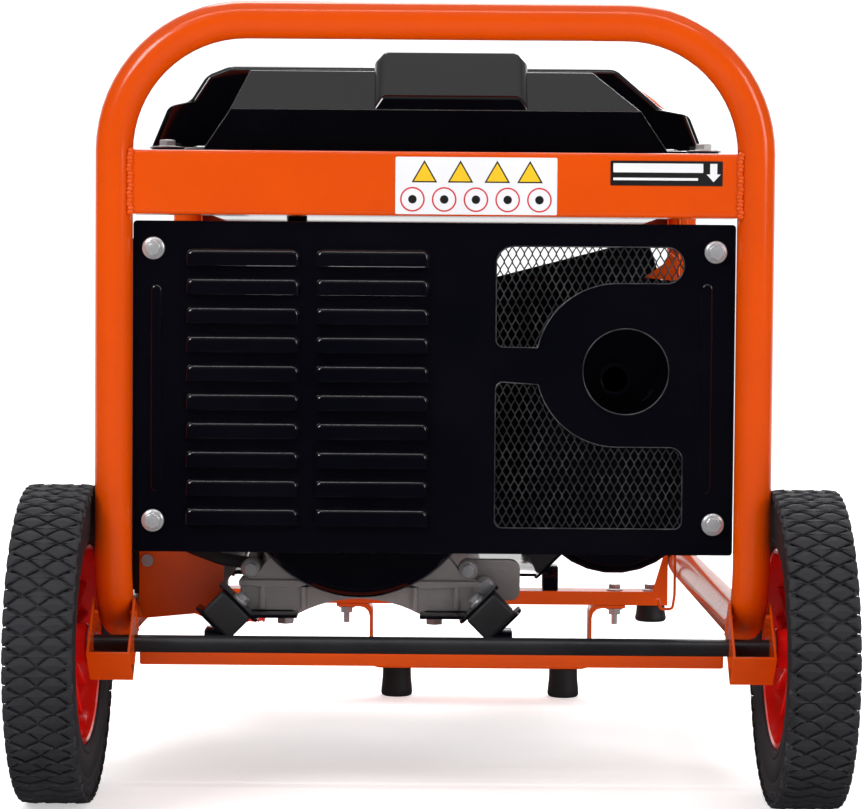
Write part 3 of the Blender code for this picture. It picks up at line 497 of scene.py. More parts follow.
def ramp(tree, value, low, high):
    node = add(tree, "ShaderNodeMapRange", **{"From Min": low, "From Max": high})
    tree.links.new(value, node.inputs["Value"])
    return node.outputs["Result"]


def objectPlace(tree):
    return add(tree, "ShaderNodeTexCoord").outputs["Object"]


def dustEffect():
    # settled dust: thick on faces that look up, patchy elsewhere
    group, entry, exitNode = newGroup(
        "settledDust",
        [("Amount", "NodeSocketFloat", 0.3), ("Scale", "NodeSocketFloat", 18.0)],
        [("Mask", "NodeSocketFloat")])
    links = group.links
    place = objectPlace(group)
    up = add(group, "ShaderNodeSeparateXYZ")
    links.new(add(group, "ShaderNodeNewGeometry").outputs["Normal"], up.inputs[0])
    facing = ramp(group, up.outputs["Z"], -0.2, 1.0)
    patches = ramp(group, noise(group, place, entry.outputs["Scale"], 6.0, 0.62), 0.35, 0.75)
    specks = ramp(group, noise(group, place, 900.0, 2.0), 0.55, 0.75)
    mixed = plus(group, times(group, patches, 0.7), times(group, specks, 0.3))
    base = plus(group, times(group, facing, 0.8), 0.2)
    mask = times(group, times(group, mixed, base), entry.outputs["Amount"], clamp=True)
    links.new(mask, exitNode.inputs["Mask"])
    return group


def edgeWearAndHighlightEffect():
    # rubbed edges and painted edge highlights: the edge tone is strongest where a rounded normal leaves the
    # true one, broken up by noise
    group, entry, exitNode = newGroup(
        "edgeWearAndHighlight",
        [("Radius", "NodeSocketFloat", 0.002), ("Amount", "NodeSocketFloat", 0.5),
         ("Break Up", "NodeSocketFloat", 60.0)],
        [("Mask", "NodeSocketFloat")])
    links = group.links
    place = objectPlace(group)
    bevel = add(group, "ShaderNodeBevel", samples=4)
    links.new(entry.outputs["Radius"], bevel.inputs["Radius"])
    dot = add(group, "ShaderNodeVectorMath", operation="DOT_PRODUCT")
    links.new(bevel.outputs["Normal"], dot.inputs[0])
    links.new(add(group, "ShaderNodeNewGeometry").outputs["Normal"], dot.inputs[1])
    edge = ramp(group, dot.outputs["Value"], 0.985, 0.8)
    patches = ramp(group, noise(group, place, entry.outputs["Break Up"], 5.0, 0.6), 0.45, 0.62)
    mask = times(group, times(group, edge, patches), entry.outputs["Amount"], clamp=True)
    links.new(mask, exitNode.inputs["Mask"])
    return group


def grainEffect():
    # height of a coat or a moulded skin: long ripple and fine grain
    group, entry, exitNode = newGroup(
        "surfaceGrain",
        [("Ripple Scale", "NodeSocketFloat", 260.0), ("Fine Scale", "NodeSocketFloat", 1800.0),
         ("Fine Share", "NodeSocketFloat", 0.3)],
        [("Height", "NodeSocketFloat"), ("Patches", "NodeSocketFloat")])
    links = group.links
    place = objectPlace(group)
    ripple = noise(group, place, entry.outputs["Ripple Scale"], 2.0, 0.4)
    fine = noise(group, place, entry.outputs["Fine Scale"], 2.0, 0.5)
    both = plus(group, ripple, times(group, fine, entry.outputs["Fine Share"]))
    links.new(both, exitNode.inputs["Height"])
    links.new(ramp(group, noise(group, place, 9.0, 5.0, 0.6), 0.3, 0.7), exitNode.inputs["Patches"])
    return group


def scratchEffect():
    # fine hairlines from handling, in two directions
    group, entry, exitNode = newGroup(
        "hairlines", [("Scale", "NodeSocketFloat", 30.0), ("Amount", "NodeSocketFloat", 0.3)],
        [("Mask", "NodeSocketFloat")])
    links = group.links
    place = objectPlace(group)
    total = None
    for turn, stretch in ((0.5, (1, 14, 1)), (-0.9, (12, 1, 9))):
        mapping = add(group, "ShaderNodeMapping")
        mapping.inputs["Rotation"].default_value = (0.3, turn, 0.7 * turn)
        mapping.inputs["Scale"].default_value = stretch
        links.new(place, mapping.inputs["Vector"])
        line = ramp(group, noise(group, mapping.outputs[0], entry.outputs["Scale"], 8.0, 0.7), 0.6, 0.72)
        total = line if total is None else plus(group, total, line, clamp=True)
    links.new(times(group, total, entry.outputs["Amount"], clamp=True), exitNode.inputs["Mask"])
    return group


dustGroup, wearAndHighlightGroup, grainGroup, hairGroup = dustEffect(), edgeWearAndHighlightEffect(), grainEffect(), scratchEffect()


def useGroup(tree, group, **values):
    node = tree.nodes.new("ShaderNodeGroup")
    node.node_tree = group
    for key, value in values.items():
        node.inputs[key.replace("_", " ")].default_value = value
    return node


def blendColour(tree, mask, first, second):
    node = add(tree, "ShaderNodeMix", data_type="RGBA")
    tree.links.new(mask, node.inputs["Factor"])
    feed(tree, node.inputs[6], first)
    feed(tree, node.inputs[7], second)
    return node.outputs[2]


lookDefaults = dict(metal=0.0, coat=0.0, coatRough=0.08, specular=0.5, sheen=0.0, ripple=500, fine=2400,
                    fineShare=0.3,
                    roughSpread=0.06, wearAndHighlight=0.0, wearAndHighlightRadius=0.0012, wearAndHighlightBreakUp=70.0, wearAndHighlightTone=(0.05, 0.05, 0.055),
                    hair=0.0,
                    hairScale=24.0, dust=0.04, dustScale=16.0, dustTone=(0.3, 0.27, 0.23), bump=0.1,
                    depth=0.0003,
                    rubRough=0.15, hairRough=0.18, dustRough=0.35)


def makeFinish(name, values):
    # one recipe for every finish: base tones, grain, dust, edges lightened as rubbed wear and as a painted
    # edge highlight, hairlines
    look = {**lookDefaults, **values}
    material = bpy.data.materials.new(name)
    material.use_nodes = True
    tree = material.node_tree
    shader = tree.nodes["Principled BSDF"]
    for label, key in (("Metallic", "metal"), ("Coat Weight", "coat"), ("Coat Roughness", "coatRough"),
                       ("Specular IOR Level", "specular"), ("Sheen Weight", "sheen")):
        shader.inputs[label].default_value = look[key]
    grain = useGroup(tree, grainGroup, Ripple_Scale=look["ripple"], Fine_Scale=look["fine"],
                     Fine_Share=look["fineShare"])
    colour = blendColour(tree, grain.outputs["Patches"], look["base"], look["tone"])
    rough = plus(tree, times(tree, grain.outputs["Patches"], look["roughSpread"]), look["rough"])
    # the edge tone is mixed in along every edge: partly rubbed wear, partly a painted edge highlight
    if look["wearAndHighlight"]:
        wearAndHighlight = useGroup(tree, wearAndHighlightGroup, Radius=look["wearAndHighlightRadius"], Amount=look["wearAndHighlight"],
                       Break_Up=look["wearAndHighlightBreakUp"])
        colour = blendColour(tree, wearAndHighlight.outputs["Mask"], colour, look["wearAndHighlightTone"])
        rough = plus(tree, rough, times(tree, wearAndHighlight.outputs["Mask"], look["rubRough"]))
    if look["hair"]:
        hair = useGroup(tree, hairGroup, Scale=look["hairScale"], Amount=look["hair"])
        rough = plus(tree, rough, times(tree, hair.outputs["Mask"], look["hairRough"]))
    dust = useGroup(tree, dustGroup, Amount=look["dust"], Scale=look["dustScale"])
    colour = blendColour(tree, dust.outputs["Mask"], colour, look["dustTone"])
    rough = plus(tree, rough, times(tree, dust.outputs["Mask"], look["dustRough"]), clamp=True)
    tree.links.new(colour, shader.inputs["Base Color"])
    tree.links.new(rough, shader.inputs["Roughness"])
    bump = add(tree, "ShaderNodeBump", Strength=look["bump"], Distance=look["depth"])
    tree.links.new(grain.outputs["Height"], bump.inputs["Height"])
    tree.links.new(bump.outputs["Normal"], shader.inputs["Normal"])
    return material


# the lighter edge tones in these finishes are painted edge highlights as well as rubbed wear
finishes = {
    "orangeCoat": dict(slot="orange_paint", base=(0.7, 0.072, 0.0004), tone=(0.63, 0.062, 0.0003),
        rough=0.17, roughSpread=0.05, coat=0.2, specular=0.32, ripple=210, fine=1500, fineShare=0.15,
        wearAndHighlight=0.25, wearAndHighlightTone=(0.84, 0.22, 0.06), dust=0.012, hair=0.25),
    "blackCoat": dict(slot="black_paint", base=(0.0012, 0.0012, 0.0032), tone=(0.0022, 0.0022, 0.0044),
        rough=0.11, roughSpread=0.05, coat=0.25, ripple=240, fine=1700, fineShare=0.2, bump=0.07, wearAndHighlight=0.25,
        dust=0.012, hair=0.2),
    "tankCoat": dict(slot="black_paint", base=(0.001, 0.001, 0.0022), tone=(0.0018, 0.0018, 0.0032),
        rough=0.09, roughSpread=0.04, coat=0.5, ripple=70, fine=1500, fineShare=0.08, bump=0.06,
        depth=0.0004, wearAndHighlight=0.15, dust=0.01, hair=0.2),
    "rimCoat": dict(slot="rim_red", base=(0.8, 0.007, 0.004), tone=(0.68, 0.005, 0.003), rough=0.16,
        coat=0.5, ripple=180, fine=1500, bump=0.08, wearAndHighlight=0.2, wearAndHighlightTone=(0.8, 0.12, 0.07), dust=0.06),
    "treadRubber": dict(slot="tyre", base=(0.011, 0.011, 0.015), tone=(0.02, 0.02, 0.026), rough=0.6,
        roughSpread=0.15, ripple=420, fine=2600, fineShare=0.8, bump=0.35, depth=0.0004, wearAndHighlight=0.6,
        wearAndHighlightRadius=0.0009, wearAndHighlightTone=(0.085, 0.085, 0.095), dust=0.16, dustScale=60.0,
        dustTone=(0.13, 0.125, 0.12)),
    "softRubber": dict(slot="rubber", base=(0.008, 0.008, 0.01), tone=(0.014, 0.014, 0.017), rough=0.48,
        roughSpread=0.12, ripple=300, fine=2200, fineShare=0.6, bump=0.2, dust=0.06, wearAndHighlight=0.3,
        wearAndHighlightTone=(0.06, 0.06, 0.066)),
    "redGrip": dict(slot="red_rubber", base=(0.62, 0.008, 0.008), tone=(0.5, 0.006, 0.007), rough=0.42,
        roughSpread=0.1, ripple=300, fineShare=0.6, bump=0.18, dust=0.05),
    "mouldedPlastic": dict(slot="plastic", base=(0.01, 0.01, 0.012), tone=(0.017, 0.017, 0.019), rough=0.4,
        roughSpread=0.1, ripple=700, fine=2600, fineShare=0.7, bump=0.22, depth=0.0002, dust=0.06, wearAndHighlight=0.3,
        wearAndHighlightTone=(0.07, 0.07, 0.075)),
    "redPlastic": dict(slot="red_plastic", base=(0.55, 0.01, 0.007), tone=(0.45, 0.007, 0.006), rough=0.28,
        roughSpread=0.08, fineShare=0.4, depth=0.0002),
    "zincPlate": dict(slot="zinc", base=(0.74, 0.74, 0.75), tone=(0.52, 0.52, 0.55), metal=0.6, rough=0.24,
        roughSpread=0.15, fineShare=0.5, bump=0.12, depth=0.0002, wearAndHighlight=0.3, wearAndHighlightTone=(0.8, 0.8, 0.8), hair=0.5,
        hairScale=60.0),
    "sandCasting": dict(slot="casting", base=(0.43, 0.395, 0.395), tone=(0.3, 0.275, 0.275), metal=0.35,
        rough=0.46, roughSpread=0.15, ripple=900, fine=3000, fineShare=0.9, bump=0.55, depth=0.0004,
        wearAndHighlight=0.5, wearAndHighlightTone=(0.66, 0.65, 0.64), dust=0.12, dustTone=(0.15, 0.14, 0.13)),
    "blackOxide": dict(slot="dark_steel", base=(0.022, 0.022, 0.026), tone=(0.045, 0.045, 0.05), metal=0.6,
        rough=0.3, roughSpread=0.14, ripple=320, fineShare=0.5, bump=0.12, wearAndHighlight=0.5, wearAndHighlightTone=(0.3, 0.3, 0.31),
        dust=0.05, hair=0.5),
    "machinedIron": dict(slot="iron", base=(0.17, 0.17, 0.175), tone=(0.11, 0.11, 0.115), metal=0.9,
        rough=0.42, roughSpread=0.15, fine=2600, fineShare=0.8, bump=0.3, wearAndHighlight=0.5, wearAndHighlightTone=(0.45, 0.45, 0.45),
        dust=0.1),
    "exhaustSteel": dict(slot="dark_steel", base=(0.1, 0.075, 0.06), tone=(0.17, 0.12, 0.085), metal=0.85,
        rough=0.48, roughSpread=0.2, ripple=240, fine=2200, fineShare=0.8, bump=0.3, wearAndHighlight=0.3,
        wearAndHighlightTone=(0.4, 0.32, 0.25), dust=0.12),
    "meterGlass": dict(slot="plastic", base=(0.75, 0.76, 0.74), tone=(0.7, 0.71, 0.69), rough=0.1,
        roughSpread=0.03, coat=1.0, ripple=60, fine=900, bump=0.02, depth=0.0002, dust=0.05),
    "copperWire": dict(slot="dark_steel", base=(0.62, 0.22, 0.07), tone=(0.45, 0.14, 0.045), metal=0.9,
        rough=0.34, roughSpread=0.12, ripple=900, fine=2600, bump=0.3, dust=0.08),
    "ropeFibre": dict(slot="plastic", base=(0.16, 0.16, 0.17), tone=(0.07, 0.07, 0.075), rough=0.85,
        roughSpread=0.1, ripple=1400, fine=3000, fineShare=0.9, bump=0.7, depth=0.0005, dust=0.1,
        sheen=0.3),
}
for colour, slot, base, tone, rough in (
        ("labelWhite", "plastic", (0.8, 0.8, 0.83), (0.74, 0.74, 0.77), 0.36),
        ("labelBlack", "plastic", (0.006, 0.006, 0.007), (0.01, 0.01, 0.011), 0.38),
        ("labelYellow", "plastic", (0.86, 0.52, 0.006), (0.8, 0.47, 0.005), 0.38),
        ("labelRed", "red_plastic", (0.66, 0.012, 0.015), (0.58, 0.01, 0.012), 0.38)):
    finishes[colour] = dict(slot=slot, base=base, tone=tone, rough=rough, ripple=200, fine=1800, bump=0.05,
                            depth=0.0002)
coats = {name: makeFinish(name, look) for name, look in finishes.items()}


def give(obj, name, coat, body="root", *nodes):
    # the finished piece with its coat, its body and the CAD nodes it stands for
    return keep(obj, name, coats[coat], body, finishes[coat]["slot"], *nodes)


def giveNode(node, name, coat, *fromFrameArgs, body="root", extras=()):
    # a CAD node's own shape with its edges broken, and what is fastened to it
    return give(joined([fromFrame(node, *fromFrameArgs), *extras]), name, coat, body, node)


print("finishes mixed:", len(coats))


# tube frame
hoopSpec = dict(bend=0.105, elbow=0.06, steps=16, roundness=7)
beadSpec = dict(width=0.006, height=0.0044, depth=0.0042, pitch=0.003)


def buildHoop(y, towards):
    joint = middleY - towards * gap / 2
    foot, elbow = Vector((-legX, joint, railZ)), Vector((-legX, y, railZ))
    corner = Vector((-legX, y, hoopTop))
    leftSide = bent([foot, elbow, corner], hoopSpec["elbow"], hoopSpec["steps"])[:-1]
    leftSide += bent([elbow, corner, (legX, y, hoopTop)], hoopSpec["bend"], hoopSpec["steps"])[1:-1]
    rightSide = [Vector((-p.x, p.y, p.z)) for p in reversed(leftSide)]
    return pipe(leftSide + rightSide, tube, hoopSpec["roundness"])


def weldAlong(start, end, across=toRight):
    # overlapping squashed beads, like a hand-laid seam
    start, end = Vector(start), Vector(end)
    deselect()
    bpy.ops.mesh.primitive_uv_sphere_add(segments=12, ring_count=7, radius=0.5)
    bead = current()
    bead.scale = (beadSpec["width"], beadSpec["depth"], beadSpec["height"])
    bead.rotation_euler = (end - start).to_track_quat("Z", "Y").to_euler()
    settle(bead)
    count = max(2, int((end - start).length / beadSpec["pitch"]))
    pieces = []
    for i in range(count + 1):
        wobble = 0.0005 * math.sin(i * 2.1) + 0.0003 * math.sin(i * 0.83 + 1)
        pieces.append(copyOf(bead, start.lerp(end, i / count) + Vector(across) * wobble))
    bpy.data.objects.remove(bead, do_unlink=True)
    return smooth(joined(pieces), 60)


def buildChannel(node):
    # one folded sheet: the open side of the box is removed and the wall given back
    low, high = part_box(node)
    facing = 1 if node.startswith("near") else -1
    channel = slab(low, high)
    pick(channel, "FACE", lambda c, n: n.y * facing > 0.9)
    bpy.ops.mesh.delete(type="FACE")
    done()
    roundEdges(channel, 0.0032, 4, lambda a,
               b: abs(a.x - b.x) > 0.1 and (a.y - (low.y + high.y) / 2) * facing < 0)
    return chamfer(thickened(channel, 0.002), 0.0003, 1)


def buildFrame():
    give(buildHoop(nearY, 1), "nearHoopTube", "orangeCoat", "root", "near_hoop")
    give(buildHoop(farY, -1), "farHoopTube", "orangeCoat", "root", "far_hoop")
    give(buildHandleBracket(), "handleBracket", "orangeCoat")
    give(buildChannel("near_cross_panel"), "nearCrossChannel", "orangeCoat", "root", "near_cross_panel")
    give(buildChannel("far_cross_panel"), "farCrossChannel", "orangeCoat", "root", "far_cross_panel")
    for word in ("left", "right"):
        giveNode(f"tank_rail_{word}", f"tankRail_{word}", "orangeCoat", 0.0008)
        bracket = fromFrame(f"axle_bracket_{word}", 0)
        low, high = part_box(f"axle_bracket_{word}")
        floor, inner, outer = low.z + 0.0005, low.x + 0.003, high.x - 0.003
        roundEdges(bracket, 0.0055, 6, lambda a, b: abs(a.y - b.y) > 0.03 and max(a.z, b.z) < floor
                   and (a.x < inner or a.x > outer))
        give(chamfer(bracket, 0.0007, 3, 25), f"axleBracket_{word}", "orangeCoat", "root",
             f"axle_bracket_{word}")
    giveNode("near_base_rail", "nearCrossRail", "orangeCoat", 0.0016, 3)
    giveNode("far_base_rail", "farCrossRail", "orangeCoat", 0.001, 3)
    giveNode("axle", "axleBar", "blackOxide", 0.001, 2)
    welds = []
    for side in (-1, 1):
        x = side * (legX - tube + 0.0012)
        for y in (crossLow.y, farY + 0.01):
            welds.append(weldAlong((x, y, crossLow.z + 0.001), (x, y, crossHigh.z - 0.001)))
        low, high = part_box("near_base_rail")
        x, z = side * (high.x - 0.001), high.z + 0.0006
        welds.append(weldAlong((x, low.y, z), (x, high.y, z)))
        low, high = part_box("far_base_rail")
        x, z = side * (high.x - 0.0008), high.z - 0.001
        welds.append(weldAlong((x, low.y, z), (x, high.y, z), toTop))
        for edge in (-1, 1):
            x = side * legX + edge * (tube + 0.0004)
            welds.append(weldAlong((x, nearY + 0.006, railZ + 0.012), (x, nearY + 0.024, railZ - 0.004),
                                   toTop))
    give(joined(welds), "frameWelds", "orangeCoat")
    print("frame bent and welded")


def buildHandleBracket():
    # two ears on a saddle, with the pin that the fold-down handle turns on
    armRadius = 0.011
    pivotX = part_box("fold_handle")[0].x + armRadius
    pivotY, pivotZ = (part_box("far_hoop")[1].y - 0.012), 0.46
    pieces = []
    for edge in (-1, 1):
        inner = pivotX + edge * (armRadius + 0.0007)
        outer = inner + edge * 0.003
        ear = slab((min(inner, outer), farY + tube - 0.001, pivotZ - 0.016),
                   (max(inner, outer), pivotY + 0.012, pivotZ + 0.016))
        roundEdges(ear, 0.01, 5, lambda a, b: abs(a.x - b.x) > 0.001 and a.y > pivotY)
        pieces.append(chamfer(ear, 0.0005, 2))
    reach = armRadius + 0.0042
    pieces.append(slab((pivotX - reach, farY + tube - 0.006, pivotZ - 0.0165),
                       (pivotX + reach, farY + tube + 0.003, pivotZ + 0.0165), 0.0012, 2))
    pieces.append(rod((pivotX - reach - 0.002, pivotY, pivotZ), toRight, 2 * reach + 0.004, 0.004, 24,
                      0.0006))
    for edge in (-1, 1):
        pieces.append(rod((pivotX + edge * (reach - 0.0005), pivotY, pivotZ), (edge, 0, 0), 0.0022, 0.0062,
                          24, 0.0008))
    return joined(pieces)


# bolts, washers and screws, by their real patterns
def hexBolt(place, axis, across=0.0115, flange=0.018, headHeight=0.006, shank=0.0, thread=0.003):
    place, axis = Vector(place), Vector(axis).normalized()
    head = rod(place + axis * 0.001, axis, headHeight, across / 2 * 1.1547, 6)
    roundEdges(head, 0.0009, 2, lambda a, b: min((a - place).dot(axis),
                                                 (b - place).dot(axis)) > headHeight * 0.8)
    collar = lathe([(0.0001, 0.0023), (across / 2 * 1.05, 0.0021), (flange / 2 - 0.0006, 0.0013),
                    (flange / 2, 0.0006), (flange / 2, 0.0), (0.0001, 0.0)], place, axis, 32, 50)
    dimple = lathe([(0.0001, 0.0003), (across * 0.3, 0.0003), (across * 0.36, 0.0), (0.0001, 0.0)],
                   place + axis * (headHeight + 0.0009), axis, 24, 50)
    parts = [head, collar, dimple]
    if shank:
        parts.append(rod(place - axis * shank, axis, shank + 0.001, thread, 20))
    return joined(parts)


def washer(place, axis, radius, thickness, bore):
    half = thickness / 2
    edge = min(0.0004, half)
    return lathe([(bore, thickness), (radius - edge, thickness), (radius, thickness - edge), (radius, edge),
                  (radius - edge, 0), (bore, 0), (bore, thickness)], place, axis, 40)


# labels: plain generic shapes, no lettering
labelSpec = dict(thick=0.0003, corner=0.0012, mark=0.0002, markLift=0.00012, rings=5, ringPitch=0.0252,
                 signs=(-0.0086, 0.02, 0.0492, 0.0752), spanX=(-0.0316, 0.0968), arrowX=(0.139, 0.228),
                 arrowZ=(0.4972, 0.5168))


def buildLabels():
    y = crossLow.y - labelSpec["thick"] - 0.0001
    z0, z1 = crossLow.z + 0.0012, crossHigh.z - 0.0044
    x0, x1 = labelSpec["spanX"]
    mark, lifted = labelSpec["mark"], y - labelSpec["markLift"]
    sheetPiece = cutSheet([rounded((x0, z0), (x1, z1), labelSpec["corner"])], y, labelSpec["thick"])
    give(sheetPiece, "labelSheet", "labelWhite")
    high, low = z1 - 0.0125, z0 + 0.0118
    darks, yellows, reds, greys = [], [], [], []
    for x in labelSpec["signs"]:
        for size, group, front in ((0.0118, darks, y - 0.00006), (0.0096, yellows, lifted)):
            group.append(cutSheet([arc((x, high - 0.0018), size, 90, 330, 2)], front, mark))
    for i in range(labelSpec["rings"]):
        x = -0.018 + i * labelSpec["ringPitch"]
        reds.append(cutSheet([arc((x, low), r, 0, 352.5, 47) for r in (0.0098, 0.0086)], lifted, mark))
        greys.append(cutSheet([arc((x, low), 0.0034, 0, 345, 23)], y - 0.0001, mark))
    give(joined(darks + greys), "labelDarkMarks", "labelBlack")
    give(joined(yellows), "labelTriangles", "labelYellow")
    give(joined(reds), "labelRings", "labelRed")
    (x0, x1), (z0, z1) = labelSpec["arrowX"], labelSpec["arrowZ"]
    plate = cutSheet([rounded((x0, z0), (x1, z1), 0.0008)], y, labelSpec["thick"])
    give(plate, "arrowLabelSheet", "labelBlack")
    bar = cutSheet([rounded((x0 + 0.0022, z1 - 0.0092), (x1 - 0.0155, z1 - 0.002), 0.0004)], lifted, mark)
    thin = cutSheet([rounded((x0 + 0.0022, z0 + 0.0042), (x1 - 0.0195, z0 + 0.0062), 0.0004)], lifted, mark)
    tip, half = x1 - 0.0072, 0.0056
    arrow = [(tip - half * 0.5, z1 - 0.002), (tip - half * 0.5, z0 + 0.0092), (tip - half, z0 + 0.0092),
             (tip, z0 + 0.0032), (tip + half, z0 + 0.0092), (tip + half * 0.5, z0 + 0.0092),
             (tip + half * 0.5, z1 - 0.002)]
    give(joined([bar, thin, cutSheet([arrow], lifted, mark)]), "arrowLabelMarks", "labelWhite")
    print("labels laid")


# louvred end panel
panelSpec = dict(wall=0.0015, rows=10, pitch=0.023, lowestLip=0.2244, columns=(-0.153, -0.0495), length=0.09,
                 hoodHeight=0.0136, hoodReach=0.0062, beadWidth=0.0088,
                 exhaust=(0.1536, 0.349), exhaustRadius=0.0344, arcCentre=(0.147, 0.354), arcRadius=0.0655,
                 windowX=(0.0495, 0.1995),
                 windowZ=(0.223, 0.34, 0.368, 0.4485), beads=((-0.222, 0.25, 0.416), (0.218, 0.252, 0.42)))


def window(upper):
    # one of the two openings right of the louvres, hollowed by the arc round the exhaust
    (cx, cz), r = panelSpec["arcCentre"], panelSpec["arcRadius"]
    left, right = panelSpec["windowX"]
    bottom, lowerTop, upperBottom, top = panelSpec["windowZ"]
    small, large = 0.006, 0.014 if upper else 0.01
    if upper:
        points = arc((left + small, upperBottom + small), small, 270, 180, 5)
        for x, z, start in ((left + large, top - large, 180), (right - large, top - large, 90),
                            (right - large, cz + r + large, 0)):
            points += arc((x, z), large, start, start - 90, 7)
        return points + arc((cx, cz), r, 90, 168, 18)
    points = arc((left + small, lowerTop - small), small, 90, 180, 5)
    points += arc((left + small, bottom + small), small, 180, 270, 5)
    points += arc((right - small, bottom + small), small, 270, 360, 5)
    points += arc((right - large, cz - r - large), large, 0, 90, 7)
    return points + arc((cx, cz), r, 270, 194, 18)


def panelHoles():
    return [window(True), window(False), arc(panelSpec["exhaust"], panelSpec["exhaustRadius"], 0, 354, 59)]


def buildHood():
    # one pressed louvre: rounded above and at both ends, open below
    spec = panelSpec
    half = spec["length"] / 2 + 0.0006
    hood = slab((-half, -spec["hoodReach"], 0), (half, 0.0012, spec["hoodHeight"]))
    pick(hood, "FACE", lambda c, n: n.z < -0.9 or n.y > 0.9)
    bpy.ops.mesh.delete(type="FACE")
    done()
    roundEdges(hood, 0.0065, 6, lambda a, b: abs(a.y - b.y) > 0.003 and a.z > 0.01)
    roundEdges(hood, 0.0042, 5, lambda a, b: max(a.y, b.y) < -0.006 and max(a.z, b.z) >= 1e-5)
    return smooth(thickened(hood, 0.0009), 50)


def buildEndPanel():
    spec = panelSpec
    slots, hoods = [], []
    hood = buildHood()
    for column in spec["columns"]:
        for row in range(spec["rows"]):
            lip = spec["lowestLip"] + row * spec["pitch"]
            left = column - spec["length"] / 2 + 0.002
            slots.append(rounded((left, lip), (left + spec["length"] - 0.004, lip + 0.0078), 0.001, 2))
            hoods.append(copyOf(hood, (column, nearY, lip)))
    bpy.data.objects.remove(hood, do_unlink=True)
    outline = rounded((panelLow.x, panelLow.z), (panelHigh.x, panelHigh.z), 0.003, 4)
    face = cutSheet([outline, *panelHoles(), *slots], nearY, spec["wall"], 0.0003)
    flange = slab((panelLow.x + 0.001, nearY + 0.0004, panelLow.z),
                  (panelHigh.x - 0.001, nearY + 0.015, panelLow.z + spec["wall"]), 0.0004, 2)
    beads = []
    for x, z0, z1 in spec["beads"]:
        half = spec["beadWidth"] / 2
        bead = slab((x - half, nearY - 0.0022, z0), (x + half, nearY + 0.0022, z1))
        roundEdges(bead, half * 0.98, 6, lambda a, b: abs(a.y - b.y) > 0.002)
        roundEdges(bead, 0.0018, 4, lambda a, b: a.y < nearY - 0.002 and b.y < nearY - 0.002)
        beads.append(smooth(bead, 60))
    give(joined([face, flange, *hoods, *beads]), "louvredPanel", "blackCoat", "root", "end_panel")
    trim = [pipe([(x, nearY + 0.0002, z) for x, z in hole], 0.00055, 1, True) for hole in panelHoles()]
    give(joined(trim), "windowTrim", "blackOxide")
    print("end panel pressed")


meshSpec = dict(cellWidth=0.0064, cellHeight=0.0129, strand=0.00058)


def buildExpandedMesh():
    # each strand zigzags down the sheet; its neighbours meet it at the knots
    low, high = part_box("panel_mesh")
    cx, cz = panelSpec["exhaust"]
    clear = panelSpec["exhaustRadius"] + 0.004
    half, rise = meshSpec["cellWidth"] / 2, meshSpec["cellHeight"] / 2
    y = (low.y + high.y) / 2
    paths = []
    columns = int((high.x - low.x - 0.002) / half)
    rows = int((high.z - low.z - 0.002) / rise)
    for column in range(columns + 1):
        x0 = low.x + 0.001 + column * half
        path = []
        for row in range(rows + 1):
            side = 1 if (row + column) % 2 else -1
            x = min(max(x0 + side * half * 0.46, low.x + 0.001), high.x - 0.001)
            z = low.z + 0.001 + row * rise
            if math.hypot(x - cx, z - cz) < clear:
                paths.append(path)
                path = []
                continue
            path.append((x, y + side * 0.00012, z - rise * 0.14))
            path.append((x, y + side * 0.00012, z + rise * 0.14))
        paths.append(path)
    paths = [path for path in paths if len(path) > 1]
    strands = toMesh(drawn(paths, False, meshSpec["strand"], 0, use_fill_caps=True))
    border = [slab((low.x, low.y, low.z), (high.x, high.y, low.z + 0.003), 0.0003, 1),
              slab((low.x, low.y, high.z - 0.003), (high.x, high.y, high.z), 0.0003, 1),
              slab((low.x, low.y, low.z), (low.x + 0.003, high.y, high.z), 0.0003, 1),
              slab((high.x - 0.003, low.y, low.z), (high.x, high.y, high.z), 0.0003, 1),
              ring((cx, y, cz), toBack, clear + 0.0006, 0.0006, 64)]
    give(joined([strands, *border]), "expandedMesh", "blackOxide", "root", "panel_mesh")
    print("expanded mesh woven")


def buildPanelBolts():
    for ending, turn in (("upper_left", 0.3), ("upper_right", 0.9), ("lower_left", 0.1),
                         ("lower_right", 0.6)):
        low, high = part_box(f"panel_bolt_{ending}")
        x, z = (low.x + high.x) / 2, (low.z + high.z) / 2
        bolt = hexBolt((x, nearY - gap, z), toFront, 0.0118, 0.018, 0.0056, 0.014)
        turned(bolt, turn, "Y", (x, nearY, z))
        give(bolt, f"panelBolt_{ending}", "zincPlate", "root", f"panel_bolt_{ending}")


# fuel tank
tankSpec = dict(halfWidth=0.2, nearLength=0.078, ribX=(-0.041, 0.0655), ribRise=0.0095)
tankLow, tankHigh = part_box("fuel_tank")
tankTop = 0.6
seatZ = crossHigh.z + gap


